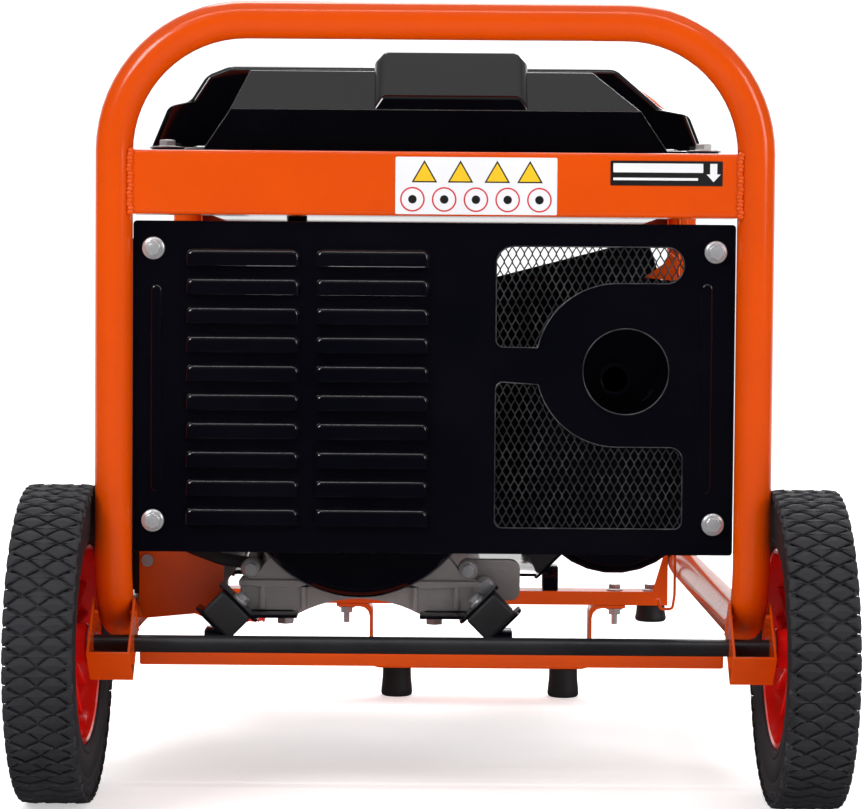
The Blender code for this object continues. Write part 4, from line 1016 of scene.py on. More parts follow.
def buildTank():
    w, start = tankSpec["halfWidth"], tankLow.y
    nearShape = [(0.011 - w, seatZ), (w - 0.011, seatZ), (w - 0.034, seatZ + 0.034),
                 (w - 0.072, tankTop - 0.008),
                 (0.048 - w, tankTop - 0.008), (0.034 - w, seatZ + 0.034)]
    near = cutSheet([nearShape], start, tankSpec["nearLength"] + 0.012)
    sliced(near, (0, start + 0.003, tankTop - 0.039), (0, -1, 1))
    near = chamfer(near, 0.0075, 6, 12)
    wideShape = [(-w - 0.04, seatZ + 0.004), (w + 0.026, seatZ + 0.004), (w + 0.012, tankTop - 0.038),
                 (w - 0.01, tankTop - 0.034), (w - 0.05, tankTop), (0.028 - w, tankTop),
                 (0.008 - w, tankTop - 0.008),
                 (-w - 0.006, tankTop - 0.03), (-w - 0.024, tankTop - 0.034)]
    wide = cutSheet([wideShape], start + tankSpec["nearLength"], tankHigh.y - start - tankSpec["nearLength"])
    wide = chamfer(wide, 0.0048, 5, 12)
    # raised rib: a block cut to its crown, its slope and its flared flanks
    (ribLow, ribHigh), rise = tankSpec["ribX"], tankSpec["ribRise"]
    rib = slab((ribLow - rise, start + 0.0006, tankTop - 0.06),
               (ribHigh + rise, start + 0.23, tankTop + rise))
    slope = Vector((0, start + 0.003, tankTop - 0.039))
    lean = math.sqrt(0.5)
    cuts = [(slope + Vector((0, -lean, lean)) * rise * 0.75, Vector((0, -1, 1)))]
    for side, x in ((-1, ribLow - rise), (1, ribHigh + rise)):
        cuts.append((Vector((x, 0, tankTop)), Vector((side, 0, 1))))
        cuts.append((Vector((x, slope.y, slope.z)), Vector((side, -lean, lean))))
    for place, normal in cuts:
        sliced(rib, place, normal)
    rib = chamfer(rib, 0.003, 4, 12)
    lower = slab((-w, start + 0.01, 0.478), (w, tankHigh.y - 0.002, seatZ + 0.006), 0.007, 4)
    seam = slab((-w - 0.0035, start + 0.0065, seatZ + 0.0008),
                (w + 0.0035, tankHigh.y - 0.0002, seatZ + 0.004), 0.0012, 2)
    ribs = []
    for x in (-0.105, -0.068, 0.092, 0.118):
        bar = slab((x - 0.007, start + 0.12, tankTop - 0.004),
                   (x + 0.007, tankHigh.y - 0.04, tankTop + 0.0012))
        roundEdges(bar, 0.0066, 5, lambda a, b: abs(a.z - b.z) > 0.003)
        ribs.append(chamfer(bar, 0.001, 3))
    boss = rod((-0.12, nearY + 0.18, 0.452), toTop, 0.028, 0.009, 32, 0.001)
    collar = lathe([(0.03, 0.003), (0.046, 0.003), (0.049, 0.0012), (0.05, -0.002), (0.03, -0.002),
                    (0.03, 0.003)], (0.012, nearY + 0.34, tankTop - 0.003), toTop, 64)
    tabs, bolts, cushions = [], [], []
    for side in (-1, 1):
        for y in (nearY + 0.075, farY - 0.075):
            inner, outer = sorted((side * 0.196, side * (legX - tube - 0.0023)))
            tab = slab((inner, y - 0.018, seatZ + 0.0002), (outer, y + 0.018, seatZ + 0.003))
            roundEdges(tab, 0.01, 5, lambda a, b: abs(a.z - b.z) > 0.001 and a.x * side > 0.21)
            tabs.append(chamfer(tab, 0.0006, 2))
            spot = Vector((side * 0.2215, y, seatZ + 0.003))
            cushions.append(washer(spot, toTop, 0.0125, 0.003, 0.003))
            bolts.append(hexBolt(spot + Vector((0, 0, 0.003)), toTop, 0.0125, 0.0175, 0.0056))
            bolts.append(washer(spot + Vector((0, 0, 0.0026)), toTop, 0.015, 0.0012, 0.003))
    give(joined([near, wide, rib, lower, seam, boss, *ribs, *tabs, collar]), "tankShell", "tankCoat", "root",
         "fuel_tank")
    give(joined(bolts), "tankBolts", "zincPlate")
    give(joined(cushions), "tankCushions", "softRubber")
    print("tank pressed")


def buildCap():
    # ribbed filler cap with a vented top
    centre = Vector((0.012, nearY + 0.34, tankTop + gap))
    cap = lathe([(0.0001, 0.0262), (0.012, 0.0266), (0.028, 0.0262), (0.033, 0.0268), (0.0362, 0.025),
                 (0.0375, 0.0215), (0.0375, 0.006), (0.039, 0.004), (0.0392, 0.0008), (0.038, 0.0),
                 (0.0001, 0.0)], centre, toTop, 72)
    rib = slab((0.0362, -0.0011, 0.0055), (0.0392, 0.0011, 0.0225), 0.0006, 2)
    pieces = [cap, *around(rib, 36, "Z", centre)]
    pieces.append(moved(slab((-0.022, -0.0016, 0.0255), (0.022, 0.0016, 0.027), 0.0005, 2), centre))
    give(joined(pieces), "fillerCap", "mouldedPlastic", "fuel_cap", "fuel_cap")


def buildTap():
    lever = slab(*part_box("fuel_tap_lever"))
    roundEdges(lever, 0.0045, 6, lambda a, b: abs(a.y - b.y) > 0.001)
    give(chamfer(lever, 0.0005, 2), "tapLever", "redPlastic", "fuel_tap_lever", "fuel_tap_lever")
    hose = pipe(bent([(-0.12, nearY + 0.18, 0.4525), (-0.12, nearY + 0.18, 0.436),
                      (-0.09, nearY + 0.33, 0.43),
                      (0.09, nearY + 0.385, 0.42), (0.118, nearY + 0.405, 0.3705)], 0.014, 8), 0.0042, 4)
    give(hose, "fuelHose", "softRubber")
    clips = [ring((-0.12, nearY + 0.18, 0.4475), toTop, 0.0047, 0.0009, 32),
             ring((0.1155, nearY + 0.4025, 0.38), (0.12, 0.1, -1), 0.0047, 0.0009, 32)]
    give(joined(clips), "hoseClips", "zincPlate")


# wheels
tyreSpec = dict(rows=52, column=0.0122, carcass=0.1243, top=0.1262, half=0.0262, shrink=0.935, inset=0.0011,
                drop=0.0004, skirt=0.003, apexLift=0.0011, shieldLift=0.0015)
rimSpec = dict(ribs=16, hubRadius=0.016)


def treadBlock(points, apexLift):
    # a fan of facets pushed up in the middle, with a skirt let down all round
    deselect()
    bpy.ops.mesh.primitive_circle_add(vertices=len(points), radius=0.01, fill_type="TRIFAN")
    obj = current()
    top = tyreSpec["top"]
    centre = sum((Vector(p) for p in points), Vector((0, 0))) / len(points)
    rim = [v for v in obj.data.vertices if v.co.xy.length > 0.005]
    rim.sort(key=lambda v: math.atan2(v.co.y, v.co.x))
    spots = sorted((Vector(p) - centre for p in points), key=lambda p: math.atan2(p.y, p.x))
    corners = [centre + spot * tyreSpec["shrink"] for spot in spots]
    for vertex, corner in zip(rim, corners):
        vertex.co = (*corner, top)
    hub = next(v for v in obj.data.vertices if v not in rim)
    hub.co = (*centre, top + apexLift)
    pick(obj, "FACE", lambda c, n: True)
    bpy.ops.mesh.inset(thickness=tyreSpec["inset"], depth=0.0)
    bpy.ops.mesh.select_all(action="DESELECT")
    done()
    for vertex in obj.data.vertices:
        if vertex.co.z <= top + 1e-6 and min((vertex.co.xy - corner).length for corner in corners) < 1e-5:
            vertex.co.z = top - tyreSpec["drop"]
    pick(obj, "EDGE", lambda a, b: a.z < top - 1e-4 and b.z < top - 1e-4)
    bpy.ops.mesh.extrude_edges_move(TRANSFORM_OT_translate={"value": (0, 0, -tyreSpec["skirt"])})
    done()
    return obj


def buildTread():
    pitch = math.tau * tyreSpec["carcass"] / tyreSpec["rows"]
    k = pitch / 0.015
    c = tyreSpec["column"]
    shield = [(-4.2, 5.6), (4.2, 5.6), (11.6, -1.2), (0, -7.8), (-11.6, -1.2)]
    knot = [(0, -2.5), (11.2, -8.4), (8.0, -9.4), (0, -15.4), (-8.0, -9.4), (-11.2, -8.4)]
    shoulder = [(0.8, -2.6), (2.5, -3.6), (2.5, -14.4), (0.8, -15.2), (-8.0, -9.4), (-11.2, -8.4)]
    otherShoulder = [(-x, y) for x, y in shoulder]
    mm = 0.001
    blocks = []
    for outline, spots in ((shield, (-1, 1)), (knot, (0,)), (shoulder, (2,)), (otherShoulder, (-2,))):
        lift = tyreSpec["shieldLift" if outline is shield else "apexLift"]
        block = treadBlock([(x * mm, y * mm * k) for x, y in outline], lift)
        for spot in spots:
            blocks.append(copyOf(block, (spot * c, 0, 0)))
        bpy.data.objects.remove(block, do_unlink=True)
    row = joined(blocks)
    return smooth(joined(around(row, tyreSpec["rows"], "X")), 2)


def buildTyre():
    half = tyreSpec["half"] - 0.0006
    seat = 0.0815
    side = [(seat, half - 0.004), (seat + 0.0016, half - 0.0022), (seat + 0.006, half - 0.0012),
            (seat + 0.0074, half - 0.0018), (seat + 0.0088, half - 0.001), (0.106, half - 0.0002),
            (0.1075, half - 0.0008), (0.109, half - 0.0002), (0.1165, half - 0.0004), (0.1205, half - 0.0022),
            (0.123, half - 0.0056), (tyreSpec["carcass"], half - 0.011)]
    profile = side + [(tyreSpec["carcass"] + 0.0002, 0.0)] + [(r, -h) for r, h in reversed(side)] + [side[0]]
    carcass = lathe(profile, (0, 0, 0), toRight, 104, 30)
    lug = slab((half - 0.01, -0.006, 0.114), (half + 0.0002, 0.006, 0.1244), 0.001, 1)
    roundEdges(lug, 0.0026, 2, lambda a, b: min(a.x, b.x) > half - 0.001 and min(a.z, b.z) > 0.12)
    outerLugs = joined(around(lug, tyreSpec["rows"], "X", shift=0.6))
    innerLugs = mirrored(outerLugs)
    return joined([buildTread(), carcass, outerLugs, innerLugs])


def buildRim():
    # pressed rim with ribs between hub and barrel, drawn with its outer side at +X
    half = 0.0208
    seat, hub, hubIn = 0.0812, rimSpec["hubRadius"], -0.022
    profile = [(seat, half), (seat, -half), (seat - 0.002, -half - 0.001), (seat - 0.0045, -half),
               (seat - 0.0062, -half + 0.006), (seat - 0.0075, -0.0045), (0.06, -0.006), (0.034, -0.003),
               (hub + 0.0035, -0.0064), (hub + 0.0004, -0.0095),
               (hub, hubIn + 0.0012), (hub - 0.0012, hubIn), (0.0074, hubIn),
               (0.0074, 0.018), (hub - 0.0012, 0.018), (hub, 0.0168),
               (hub + 0.0004, 0.0045), (hub + 0.0035, 0.0012), (0.034, 0.0035),
               (0.06, -0.001), (seat - 0.0075, 0.0005), (seat - 0.0062, half - 0.006), (seat - 0.0045, half),
               (seat - 0.002, half + 0.001), (seat, half)]
    dish = lathe(profile, (0, 0, 0), toRight, 96, 40)
    rib = slab((-0.012, -0.0022, 0.019), (0.011, 0.0022, 0.0745))
    pick(rib, "VERT", lambda co: co.z < 0.03)
    bpy.ops.transform.resize(value=(0.62, 1, 1))
    done()
    rib = chamfer(rib, 0.0014, 3)
    return joined([dish, *around(rib, rimSpec["ribs"], "X", shift=0.5)])


def buildWheels():
    tyre, rim = buildTyre(), buildRim()
    middleX = middleOf("tyre_right").x
    hubs = []
    for side, word in ((1, "right"), (-1, "left")):
        for piece, name, coat, node in ((tyre, "treadedTyre", "treadRubber", "tyre"),
                                        (rim, "ribbedRim", "rimCoat", "rim")):
            twin = copyOf(piece) if side > 0 else mirrored(piece)
            moved(twin, (side * middleX, axleY, axleZ))
            give(twin, f"{name}_{word}", coat, f"wheel_{word}", f"{node}_{word}")
        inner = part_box(f"axle_bracket_{word}")[1 if side > 0 else 0].x + side * 0.0003
        end = middleX + 0.0185
        hubs += [washer((inner, axleY, axleZ), (side, 0, 0), 0.014, 0.0026, 0.0072),
                 washer((side * end, axleY, axleZ), (side, 0, 0), 0.014, 0.0016, 0.0072),
                 ring((side * (end + 0.0026), axleY, axleZ), toRight, 0.0078, 0.001, 40)]
    for spare in (tyre, rim):
        bpy.data.objects.remove(spare, do_unlink=True)
    give(joined(hubs), "axleWashers", "zincPlate")
    print("wheels fitted")


# stand, feet and the pieces under the machine
footSpec = dict(radius=0.016)


def buildFoot(node, name):
    low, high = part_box(node)
    centre, height = (low + high) / 2, high.z - low.z
    r = footSpec["radius"]
    foot = lathe([(0.0001, height), (r - 0.003, height), (r - 0.0016, height - 0.0012),
                  (r - 0.0014, height * 0.62),
                  (r - 0.0004, height * 0.3), (r, 0.0035), (r - 0.0006, 0.0012), (r - 0.0022, 0.0),
                  (0.0001, 0.0)], (centre.x, centre.y, low.z), toTop, 56, 40)
    give(foot, name, "softRubber", "root", node)
    return Vector((centre.x, centre.y, high.z))


def buildStand():
    giveNode("stand", "footStand", "orangeCoat", 0.0006, 2)
    railLow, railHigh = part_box("far_base_rail")
    standLow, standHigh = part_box("stand")
    middle, deck = (railLow.y + railHigh.y) / 2, railLow.z + 0.014
    nuts = []
    for word in ("left", "right"):
        top = buildFoot(f"stand_foot_{word}", f"standFoot_{word}")
        nuts.append(hexBolt(top + Vector((0, 0, 0.0036)), toTop, 0.0125, 0.018, 0.005))
    top = buildFoot("frame_foot", "railFoot")
    nuts.append(hexBolt((top.x, middle, deck), toTop, 0.0125, 0.018, 0.0056))
    for x in (standLow.x + 0.01, standHigh.x - 0.01):
        nuts += [hexBolt((x, middle, deck), toTop, 0.0115, 0.0175, 0.0055),
                 washer((x, middle, standHigh.z - 0.0042), toFloor, 0.0085, 0.0014, 0.003),
                 rod((x, middle, standHigh.z - 0.004), toFloor, 0.017, 0.003, 20, 0.0006),
                 rod((x, middle, standHigh.z - 0.0056), toFloor, 0.005, 0.0066, 6, 0.0005)]
    give(joined(nuts), "standFixings", "zincPlate")
    # hanging strap with a hooked end, inside the right leg line
    x, y = 0.2385, nearY + 0.45
    strap = pipe(bent([(x, y, 0.5), (x, y, 0.118), (x - 0.002, y, 0.104), (x - 0.014, y, 0.104),
                       (x - 0.016, y, 0.114)], 0.004, 5), 0.0014, 3)
    give(strap, "hangingStrap", "orangeCoat")
    gusset = cutSheet([[(0.225, 0.11), (0.2404, 0.11), (0.2404, 0.148), (0.236, 0.148)]],
                      middle - 0.016, 0.0016, 0.0002)
    tab = slab((0.229, railLow.y - 0.02, 0.15), (0.2404, railLow.y - 0.018, 0.176), 0.0006, 2)
    give(joined([gusset, tab]), "railGusset", "orangeCoat")
    give(hexBolt((0.2345, railLow.y - 0.0203, 0.163), toFront, 0.0075, 0.01, 0.004), "tabBolt",
         "zincPlate")
    print("stand fitted")


# rubber mounts
def roundedPlate(low, high, corner, edge, segments=6):
    # a flat plate with round corners and broken edges
    plate = slab(low, high)
    roundEdges(plate, corner, segments, lambda a, b: abs(a.z - b.z) > 0.001)
    return chamfer(plate, edge, 2)


def buildMounts():
    blocks, arms, studs = [], [], []
    top, half = 0.148 - gap, 0.015
    for end, side in (("near", -1), ("near", 1), ("far", -1), ("far", 1)):
        near = end == "near"
        y = middleOf(f"{end}_base_rail").y
        reach = 0.108 if near else (0.148 if side < 0 else 0.171)
        centre = Vector((crankX + side * reach, y, 0.147))
        tilt = -side * math.radians(45)
        up = Vector((math.sin(tilt), 0, math.cos(tilt)))
        body = slab((-0.016, -0.016, -0.0124), (0.016, 0.016, 0.0124), 0.003, 4)
        blocks.append(moved(turned(body, tilt, "Y"), centre))
        for offset in (0.012, -0.0148):
            plate = roundedPlate((-0.0215, -half, offset), (0.0215, half, offset + 0.0028), 0.007, 0.0007)
            arms.append(moved(turned(plate, tilt, "Y"), centre))
        studs.append(hexBolt(centre + up * 0.015, up, 0.01, 0.014, 0.0048))
        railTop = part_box("near_base_rail")[1].z if near else 0.11
        foot = centre - up * 0.014
        arms.append(slab((foot.x - 0.008, y - 0.013, railTop + gap),
                         (foot.x + 0.008, y + 0.013, foot.z - 0.002),
                         0.0012, 2))
        ends = (0.05, reach - 0.01) if near else (0.098, reach - 0.012)
        inner, outer = sorted(crankX + side * x for x in ends)
        front, back = (y - 0.014, y + 0.036) if near else (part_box("engine_mount_far_left")[0].y, y + 0.014)
        arms.append(slab((inner, front, top - 0.003), (outer, back, top), 0.001, 2))
    give(joined(blocks), "mountRubbers", "softRubber", "root", "engine_mount_near_left",
         "engine_mount_near_right",
         "engine_mount_far_left", "engine_mount_far_right")
    give(joined(arms), "mountPlates", "blackCoat")
    give(joined(studs), "mountBolts", "zincPlate")
    print("mounts set")


# alternator
def buildAlternator():
    radius, wall = 0.099, 0.0015
    centre = Vector((crankX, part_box("alternator_cover")[0].y, crankZ))
    cover = lathe([(0.0001, wall), (radius - 0.022, wall), (radius - 0.009, 0.004), (radius - wall, 0.011),
                   (radius - wall, 0.025), (radius, 0.025), (radius, 0.0105), (radius - 0.0025, 0.005),
                   (radius - 0.008, 0.0016), (radius - 0.022, 0.0), (0.03, 0.0), (0.026, 0.002),
                   (0.0001, 0.002)],
                  centre, toBack, 96, 40)
    slot = slab((0.034, -0.01, -0.003), (0.066, 0.01, 0.003))
    cover = smooth(cutWith(cover, [joined(around(slot, 14, "Y", centre))]), 40)
    give(cover, "alternatorCap", "blackCoat", "root", "alternator_cover")
    bolts = buildBearing()
    housingLow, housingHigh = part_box("alternator_housing")
    outer, length = radius - 0.003, housingHigh.y - housingLow.y
    spot = Vector((crankX, housingLow.y, crankZ))
    shell = lathe([(outer, length), (outer, length - 0.004), (outer - 0.0022, length - 0.006),
                   (outer - 0.0022, 0.006),
                   (outer, 0.004), (outer, 0.0), (0.066, 0.0), (0.066, length), (outer, length)], spot,
                   toBack,
                  96, 40)
    give(shell, "statorShell", "blackCoat", "root", "alternator_housing")
    for turn in (45, 135, 225, 315):
        outward = Vector((math.cos(math.radians(turn)), 0, math.sin(math.radians(turn))))
        bolts.append(rod(spot + outward * (outer - 0.0002), toBack, length, 0.0024, 20))
    give(joined(bolts), "alternatorBolts", "zincPlate")
    giveNode("rotor", "rotorCore", "copperWire", 0.001, 2, 25, body="crank_train")
    fin = slab((0.045, -0.0012, 0.0), (0.092, 0.0012, 0.014), 0.0004, 1)
    turned(fin, -math.pi / 2, "X")
    fins = around(fin, 20, "Y", (crankX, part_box("flywheel")[0].y + 0.0165, crankZ))
    giveNode("flywheel", "finnedFlywheel", "machinedIron", 0.0012, 2, 25, body="crank_train", extras=fins)
    print("alternator built")


def buildBearing():
    # the cast bearing bracket: arched foot of two pads with a thin web rising between them
    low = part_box("end_bracket")[0]
    y, z = low.y, low.z
    ribs = [slab((crankX + x - 0.0022, y - 0.004, z + 0.001), (crankX + x + 0.0022, y + 0.012, z + 0.0235),
                 0.0012, 2)
            for x in (-0.096, -0.08, -0.046, 0.046, 0.08, 0.096)]
    bolts = []
    for side in (-1, 1):
        x = crankX + side * 0.09
        ribs.append(rod((x, y + 0.001, z + 0.034), toBack, 0.022, 0.0085, 32, 0.0014))
        bolts.append(hexBolt((x, y + 0.0008, z + 0.034), toFront, 0.01, 0.0145, 0.0052))
        x = crankX + side * 0.062
        bolts.append(hexBolt((x, y + 0.02, z - 0.0036), toFloor, 0.013, 0.0165, 0.0085))
    arch = arc((crankX, z - 0.096), 0.106, 118, 62, 12)
    half = [(0.056, 0.0), (0.0985, 0.0), (0.0985, 0.026), (0.086, 0.029), (0.07, 0.05)]
    foot = [*arch, *((crankX + x, z + h) for x, h in half), *((crankX - x, z + h) for x, h in reversed(half))]
    half = [(0.034, 0.026), (0.056, 0.019), (0.0995, 0.0205), (0.0995, 0.0255)]
    flange = [*((crankX + x, z + h) for x, h in half), *((crankX - x, z + h) for x, h in reversed(half))]
    ear = rounded((crankX + 0.084, z + 0.008), (crankX + 0.133, z + 0.042), 0.008)
    ribs += [chamfer(cutSheet([foot], y - 0.001, 0.03), 0.0016, 3, 25),
             chamfer(cutSheet([flange], y - 0.0045, 0.033), 0.0012, 3, 25),
             chamfer(cutSheet([ear], y + 0.012, 0.01), 0.0014, 3, 25)]
    bracket = fromFrame("end_bracket", 0.0016, 3, 30)
    sliced(bracket, (0, 0, z + 0.03), toFloor)
    give(joined([bracket, *ribs]), "bearingCasting", "sandCasting", "root", "end_bracket")
    plug = Vector((crankX + 0.104, y + 0.004, z + 0.02))
    give(rod(plug, toBack, 0.03, 0.0092, 32, 0.0012), "drainBoss", "sandCasting")
    return bolts + [hexBolt(plug + Vector((0, -0.0012, 0)), toFront, 0.0125, 0.016, 0.006)]


# engine
def buildEngine():
    caseLow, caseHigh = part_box("crankcase")
    ribs = [slab((caseLow.x - 0.0006, caseHigh.y - 0.016, caseLow.z + 0.002),
                 (caseLow.x + 0.004, caseHigh.y - 0.01, 0.3), 0.0006, 1)]
    for y in (0.024, 0.052, 0.08, 0.108):
        ribs.append(slab((caseLow.x - 0.0016, caseLow.y + y, caseLow.z + 0.01),
                         (caseLow.x + 0.006, caseLow.y + y + 0.0035, 0.29), 0.0012, 2))
    giveNode("crankcase", "crankcaseCasting", "sandCasting", 0.002, 3, 30, extras=ribs)
    giveNode("cylinder", "finnedBarrel", "sandCasting", 0.0006, 2, 30)
    giveNode("cylinder_head", "headAndRocker", "sandCasting", 0.0022, 3, 30)
    tilt = math.radians(25)
    along = Vector((math.cos(tilt), 0, math.sin(tilt)))
    upward = Vector((-math.sin(tilt), 0, math.cos(tilt)))
    bolts = []
    for across in (-0.036, 0.036):
        for lift in (-0.034, 0.034):
            place = middleOf("cylinder_head") + Vector((0, across, 0)) + upward * lift
            bolts.append(hexBolt(place + along * 0.0325, along, 0.0085, 0.0115, 0.0042))
    for x in (caseLow.x + 0.016, caseHigh.x - 0.016):
        for y in (caseLow.y + 0.02, caseHigh.y - 0.03):
            bolts.append(hexBolt((x, y, caseLow.z + 0.0008), toFloor, 0.01, 0.015, 0.005))
    bolts.append(hexBolt((caseLow.x + 0.0012, caseLow.y + 0.07, caseLow.z + 0.014), toLeft, 0.0115, 0.016,
                         0.006))
    give(joined(bolts), "engineBolts", "zincPlate")
    giveNode("spark_plug", "sparkPlug", "labelWhite", 0.0006, 2, 30)
    tip = Vector((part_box("spark_plug")[0].x + 0.0065, middleOf("spark_plug").y,
                  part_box("spark_plug")[1].z - 0.0085))
    boot = lathe([(0.0052, -0.014), (0.0088, -0.014), (0.0092, -0.012), (0.0086, -0.006), (0.0088, 0.001),
                  (0.006, 0.004), (0.0001, 0.004), (0.0001, 0.001), (0.0052, 0.001), (0.0052, -0.014)],
                 tip, upward, 32, 40)
    lead = pipe(bent([tip - upward * 0.004, tip + Vector((-0.004, 0.034, -0.006)), (0.03, 0.112, 0.4),
                      (0.0, 0.15, 0.39), (-0.01, 0.15, 0.372)], 0.014, 8), 0.0034, 4)
    give(joined([boot, lead]), "plugLead", "softRubber")
    giveNode("oil_cap", "dipstickCap", "redPlastic", 0.0008, 2, 30, body="oil_cap")
    print("engine cast")


def buildCooling():
    centre = Vector((crankX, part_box("fan_housing")[1].y, crankZ))
    lips = [ring(centre + Vector((0, -0.004, 0)), toBack, 0.1256, 0.0014, 96),
            ring(centre + Vector((0, -0.058, 0)), toBack, 0.1254, 0.001, 96)]
    giveNode("fan_housing", "fanShroud", "blackCoat", 0.0016, 3, 30, extras=lips)
    coverLow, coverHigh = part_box("recoil_cover")
    face = Vector((crankX, coverHigh.y, crankZ))
    lips = [ring(face + Vector((0, -0.046, 0)), toBack, 0.1254, 0.0012, 96),
            ring(face + Vector((0, -0.0002, 0)), toBack, 0.034, 0.0016, 64)]
    giveNode("recoil_cover", "recoilShell", "orangeCoat", 0.0022, 4, 30, extras=lips)
    bolts = []
    for turn in (45, 135, 225, 315):
        outward = Vector((math.cos(math.radians(turn)), 0, math.sin(math.radians(turn))))
        place = Vector((crankX, coverLow.y + 0.01, crankZ)) + outward * 0.1262
        bolts.append(hexBolt(place, outward, 0.008, 0.0115, 0.0036))
    give(joined(bolts), "coverBolts", "zincPlate")
    gripLow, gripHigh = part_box("recoil_handle")
    middle = middleOf("recoil_handle")
    beads = [ring((middle.x + x, gripHigh.y - 0.009, middle.z), toRight, 0.0086, 0.0007, 32)
             for x in (-0.031, -0.024, -0.017, 0.017, 0.024, 0.031)]
    giveNode("recoil_handle", "pullGrip", "mouldedPlastic", 0.0018, 3, 35, body="recoil_handle", extras=beads)
    rope = pipe([Vector((middle.x, gripLow.y - 0.014 + 0.0115 * i / 5, middle.z)) for i in range(6)], 0.0022,
                5)
    rope.name = rope.data.name = "starterRope"
    rope.data.materials.append(coats["ropeFibre"])
    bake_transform(rope)
    print("starter built")


def buildExhaust():
    low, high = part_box("muffler")
    middleX, radius = middleOf("muffler").x, 0.067
    outline = arc((middleX, high.z - 0.064), radius, 0, 180, 15)
    outline += arc((middleX, low.z + 0.064), radius, 180, 360, 15)
    seams = []
    for y in (low.y + 0.034, high.y - 0.016):
        seams.append(pipe([Vector((x, y, z)) for x, z in outline], 0.0034, 4, True))
    giveNode("muffler", "mufflerShell", "blackCoat", 0.0012, 2, 30, extras=seams)
    giveNode("exhaust_pipe", "exhaustBend", "exhaustSteel", 0.0008, 2, 30)
    # cooling shroud plates seen behind the two windows
    depth = nearY + 0.215
    side = cutSheet([[(0.021, 0.19), (0.23, 0.19), (0.23, 0.425), (0.2, 0.425), (0.19, 0.456),
                      (0.166, 0.456), (0.06, 0.428), (0.021, 0.418)]], depth, 0.0016)
    pick(side, "FACE", lambda c, n: abs(n.y) > 0.9)
    bpy.ops.mesh.inset(thickness=0.008, depth=0.0)
    bpy.ops.mesh.inset(thickness=0.0025, depth=-0.0012)
    done()
    stay = cutSheet([[(0.0, 0.434), (0.046, 0.434), (0.05, 0.438), (0.046, 0.442), (0.0, 0.442)]],
                    depth - 0.004, 0.003)
    tab = cutSheet([[(0.185, 0.427), (0.212, 0.424), (0.215, 0.443), (0.208, 0.449), (0.202, 0.439)]],
                   depth - 0.004, 0.002)
    give(chamfer(side, 0.0005, 2), "coolingShroud", "blackCoat")
    give(chamfer(stay, 0.0005, 2), "shroudStay", "blackCoat")
    give(chamfer(tab, 0.0004, 2), "shroudTab", "orangeCoat")
    print("exhaust built")


def buildIntake():
    below = middleOf("carburettor")
    below.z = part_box("carburettor")[0].z
    bowl = lathe([(0.0001, 0.0), (0.011, 0.0), (0.015, 0.004), (0.0165, 0.02), (0.0175, 0.0215),
                  (0.0175, 0.024),
                  (0.0001, 0.024)], below - Vector((0, 0, 0.022)), toTop, 40, 40)
    giveNode("carburettor", "carburettorBody", "sandCasting", 0.0016, 3, 30, extras=[bowl])
    give(hexBolt(below - Vector((0, 0, 0.0215)), toFloor, 0.008, 0.011, 0.0044), "bowlBolt", "zincPlate")
    giveNode("choke_lever", "chokeTab", "redPlastic", 0.0005, 2, 30, body="choke_lever")
    low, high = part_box("air_cleaner")
    ribs = [slab((high.x - 0.034, low.y - 0.0008, low.z - 0.0008),
                 (high.x - 0.031, high.y + 0.0006, high.z + 0.0008),
                 0.0006, 1)]
    for z in (0.3, 0.322, 0.344, 0.366, 0.388):
        ribs.append(slab((high.x - 0.004, low.y + 0.022, z), (high.x + 0.0012, high.y - 0.022, z + 0.006),
                         0.0011, 2))
    giveNode("air_cleaner", "airBox", "mouldedPlastic", 0.0045, 5, 30, extras=ribs)
    clips = [slab((high.x - 0.046, high.y + 0.0002, z - 0.006), (high.x - 0.014, high.y + 0.0018, z + 0.006),
                  0.0006, 2)
             for z in (0.312, 0.382)]
    give(joined(clips), "airBoxClips", "zincPlate")
    print("intake built")


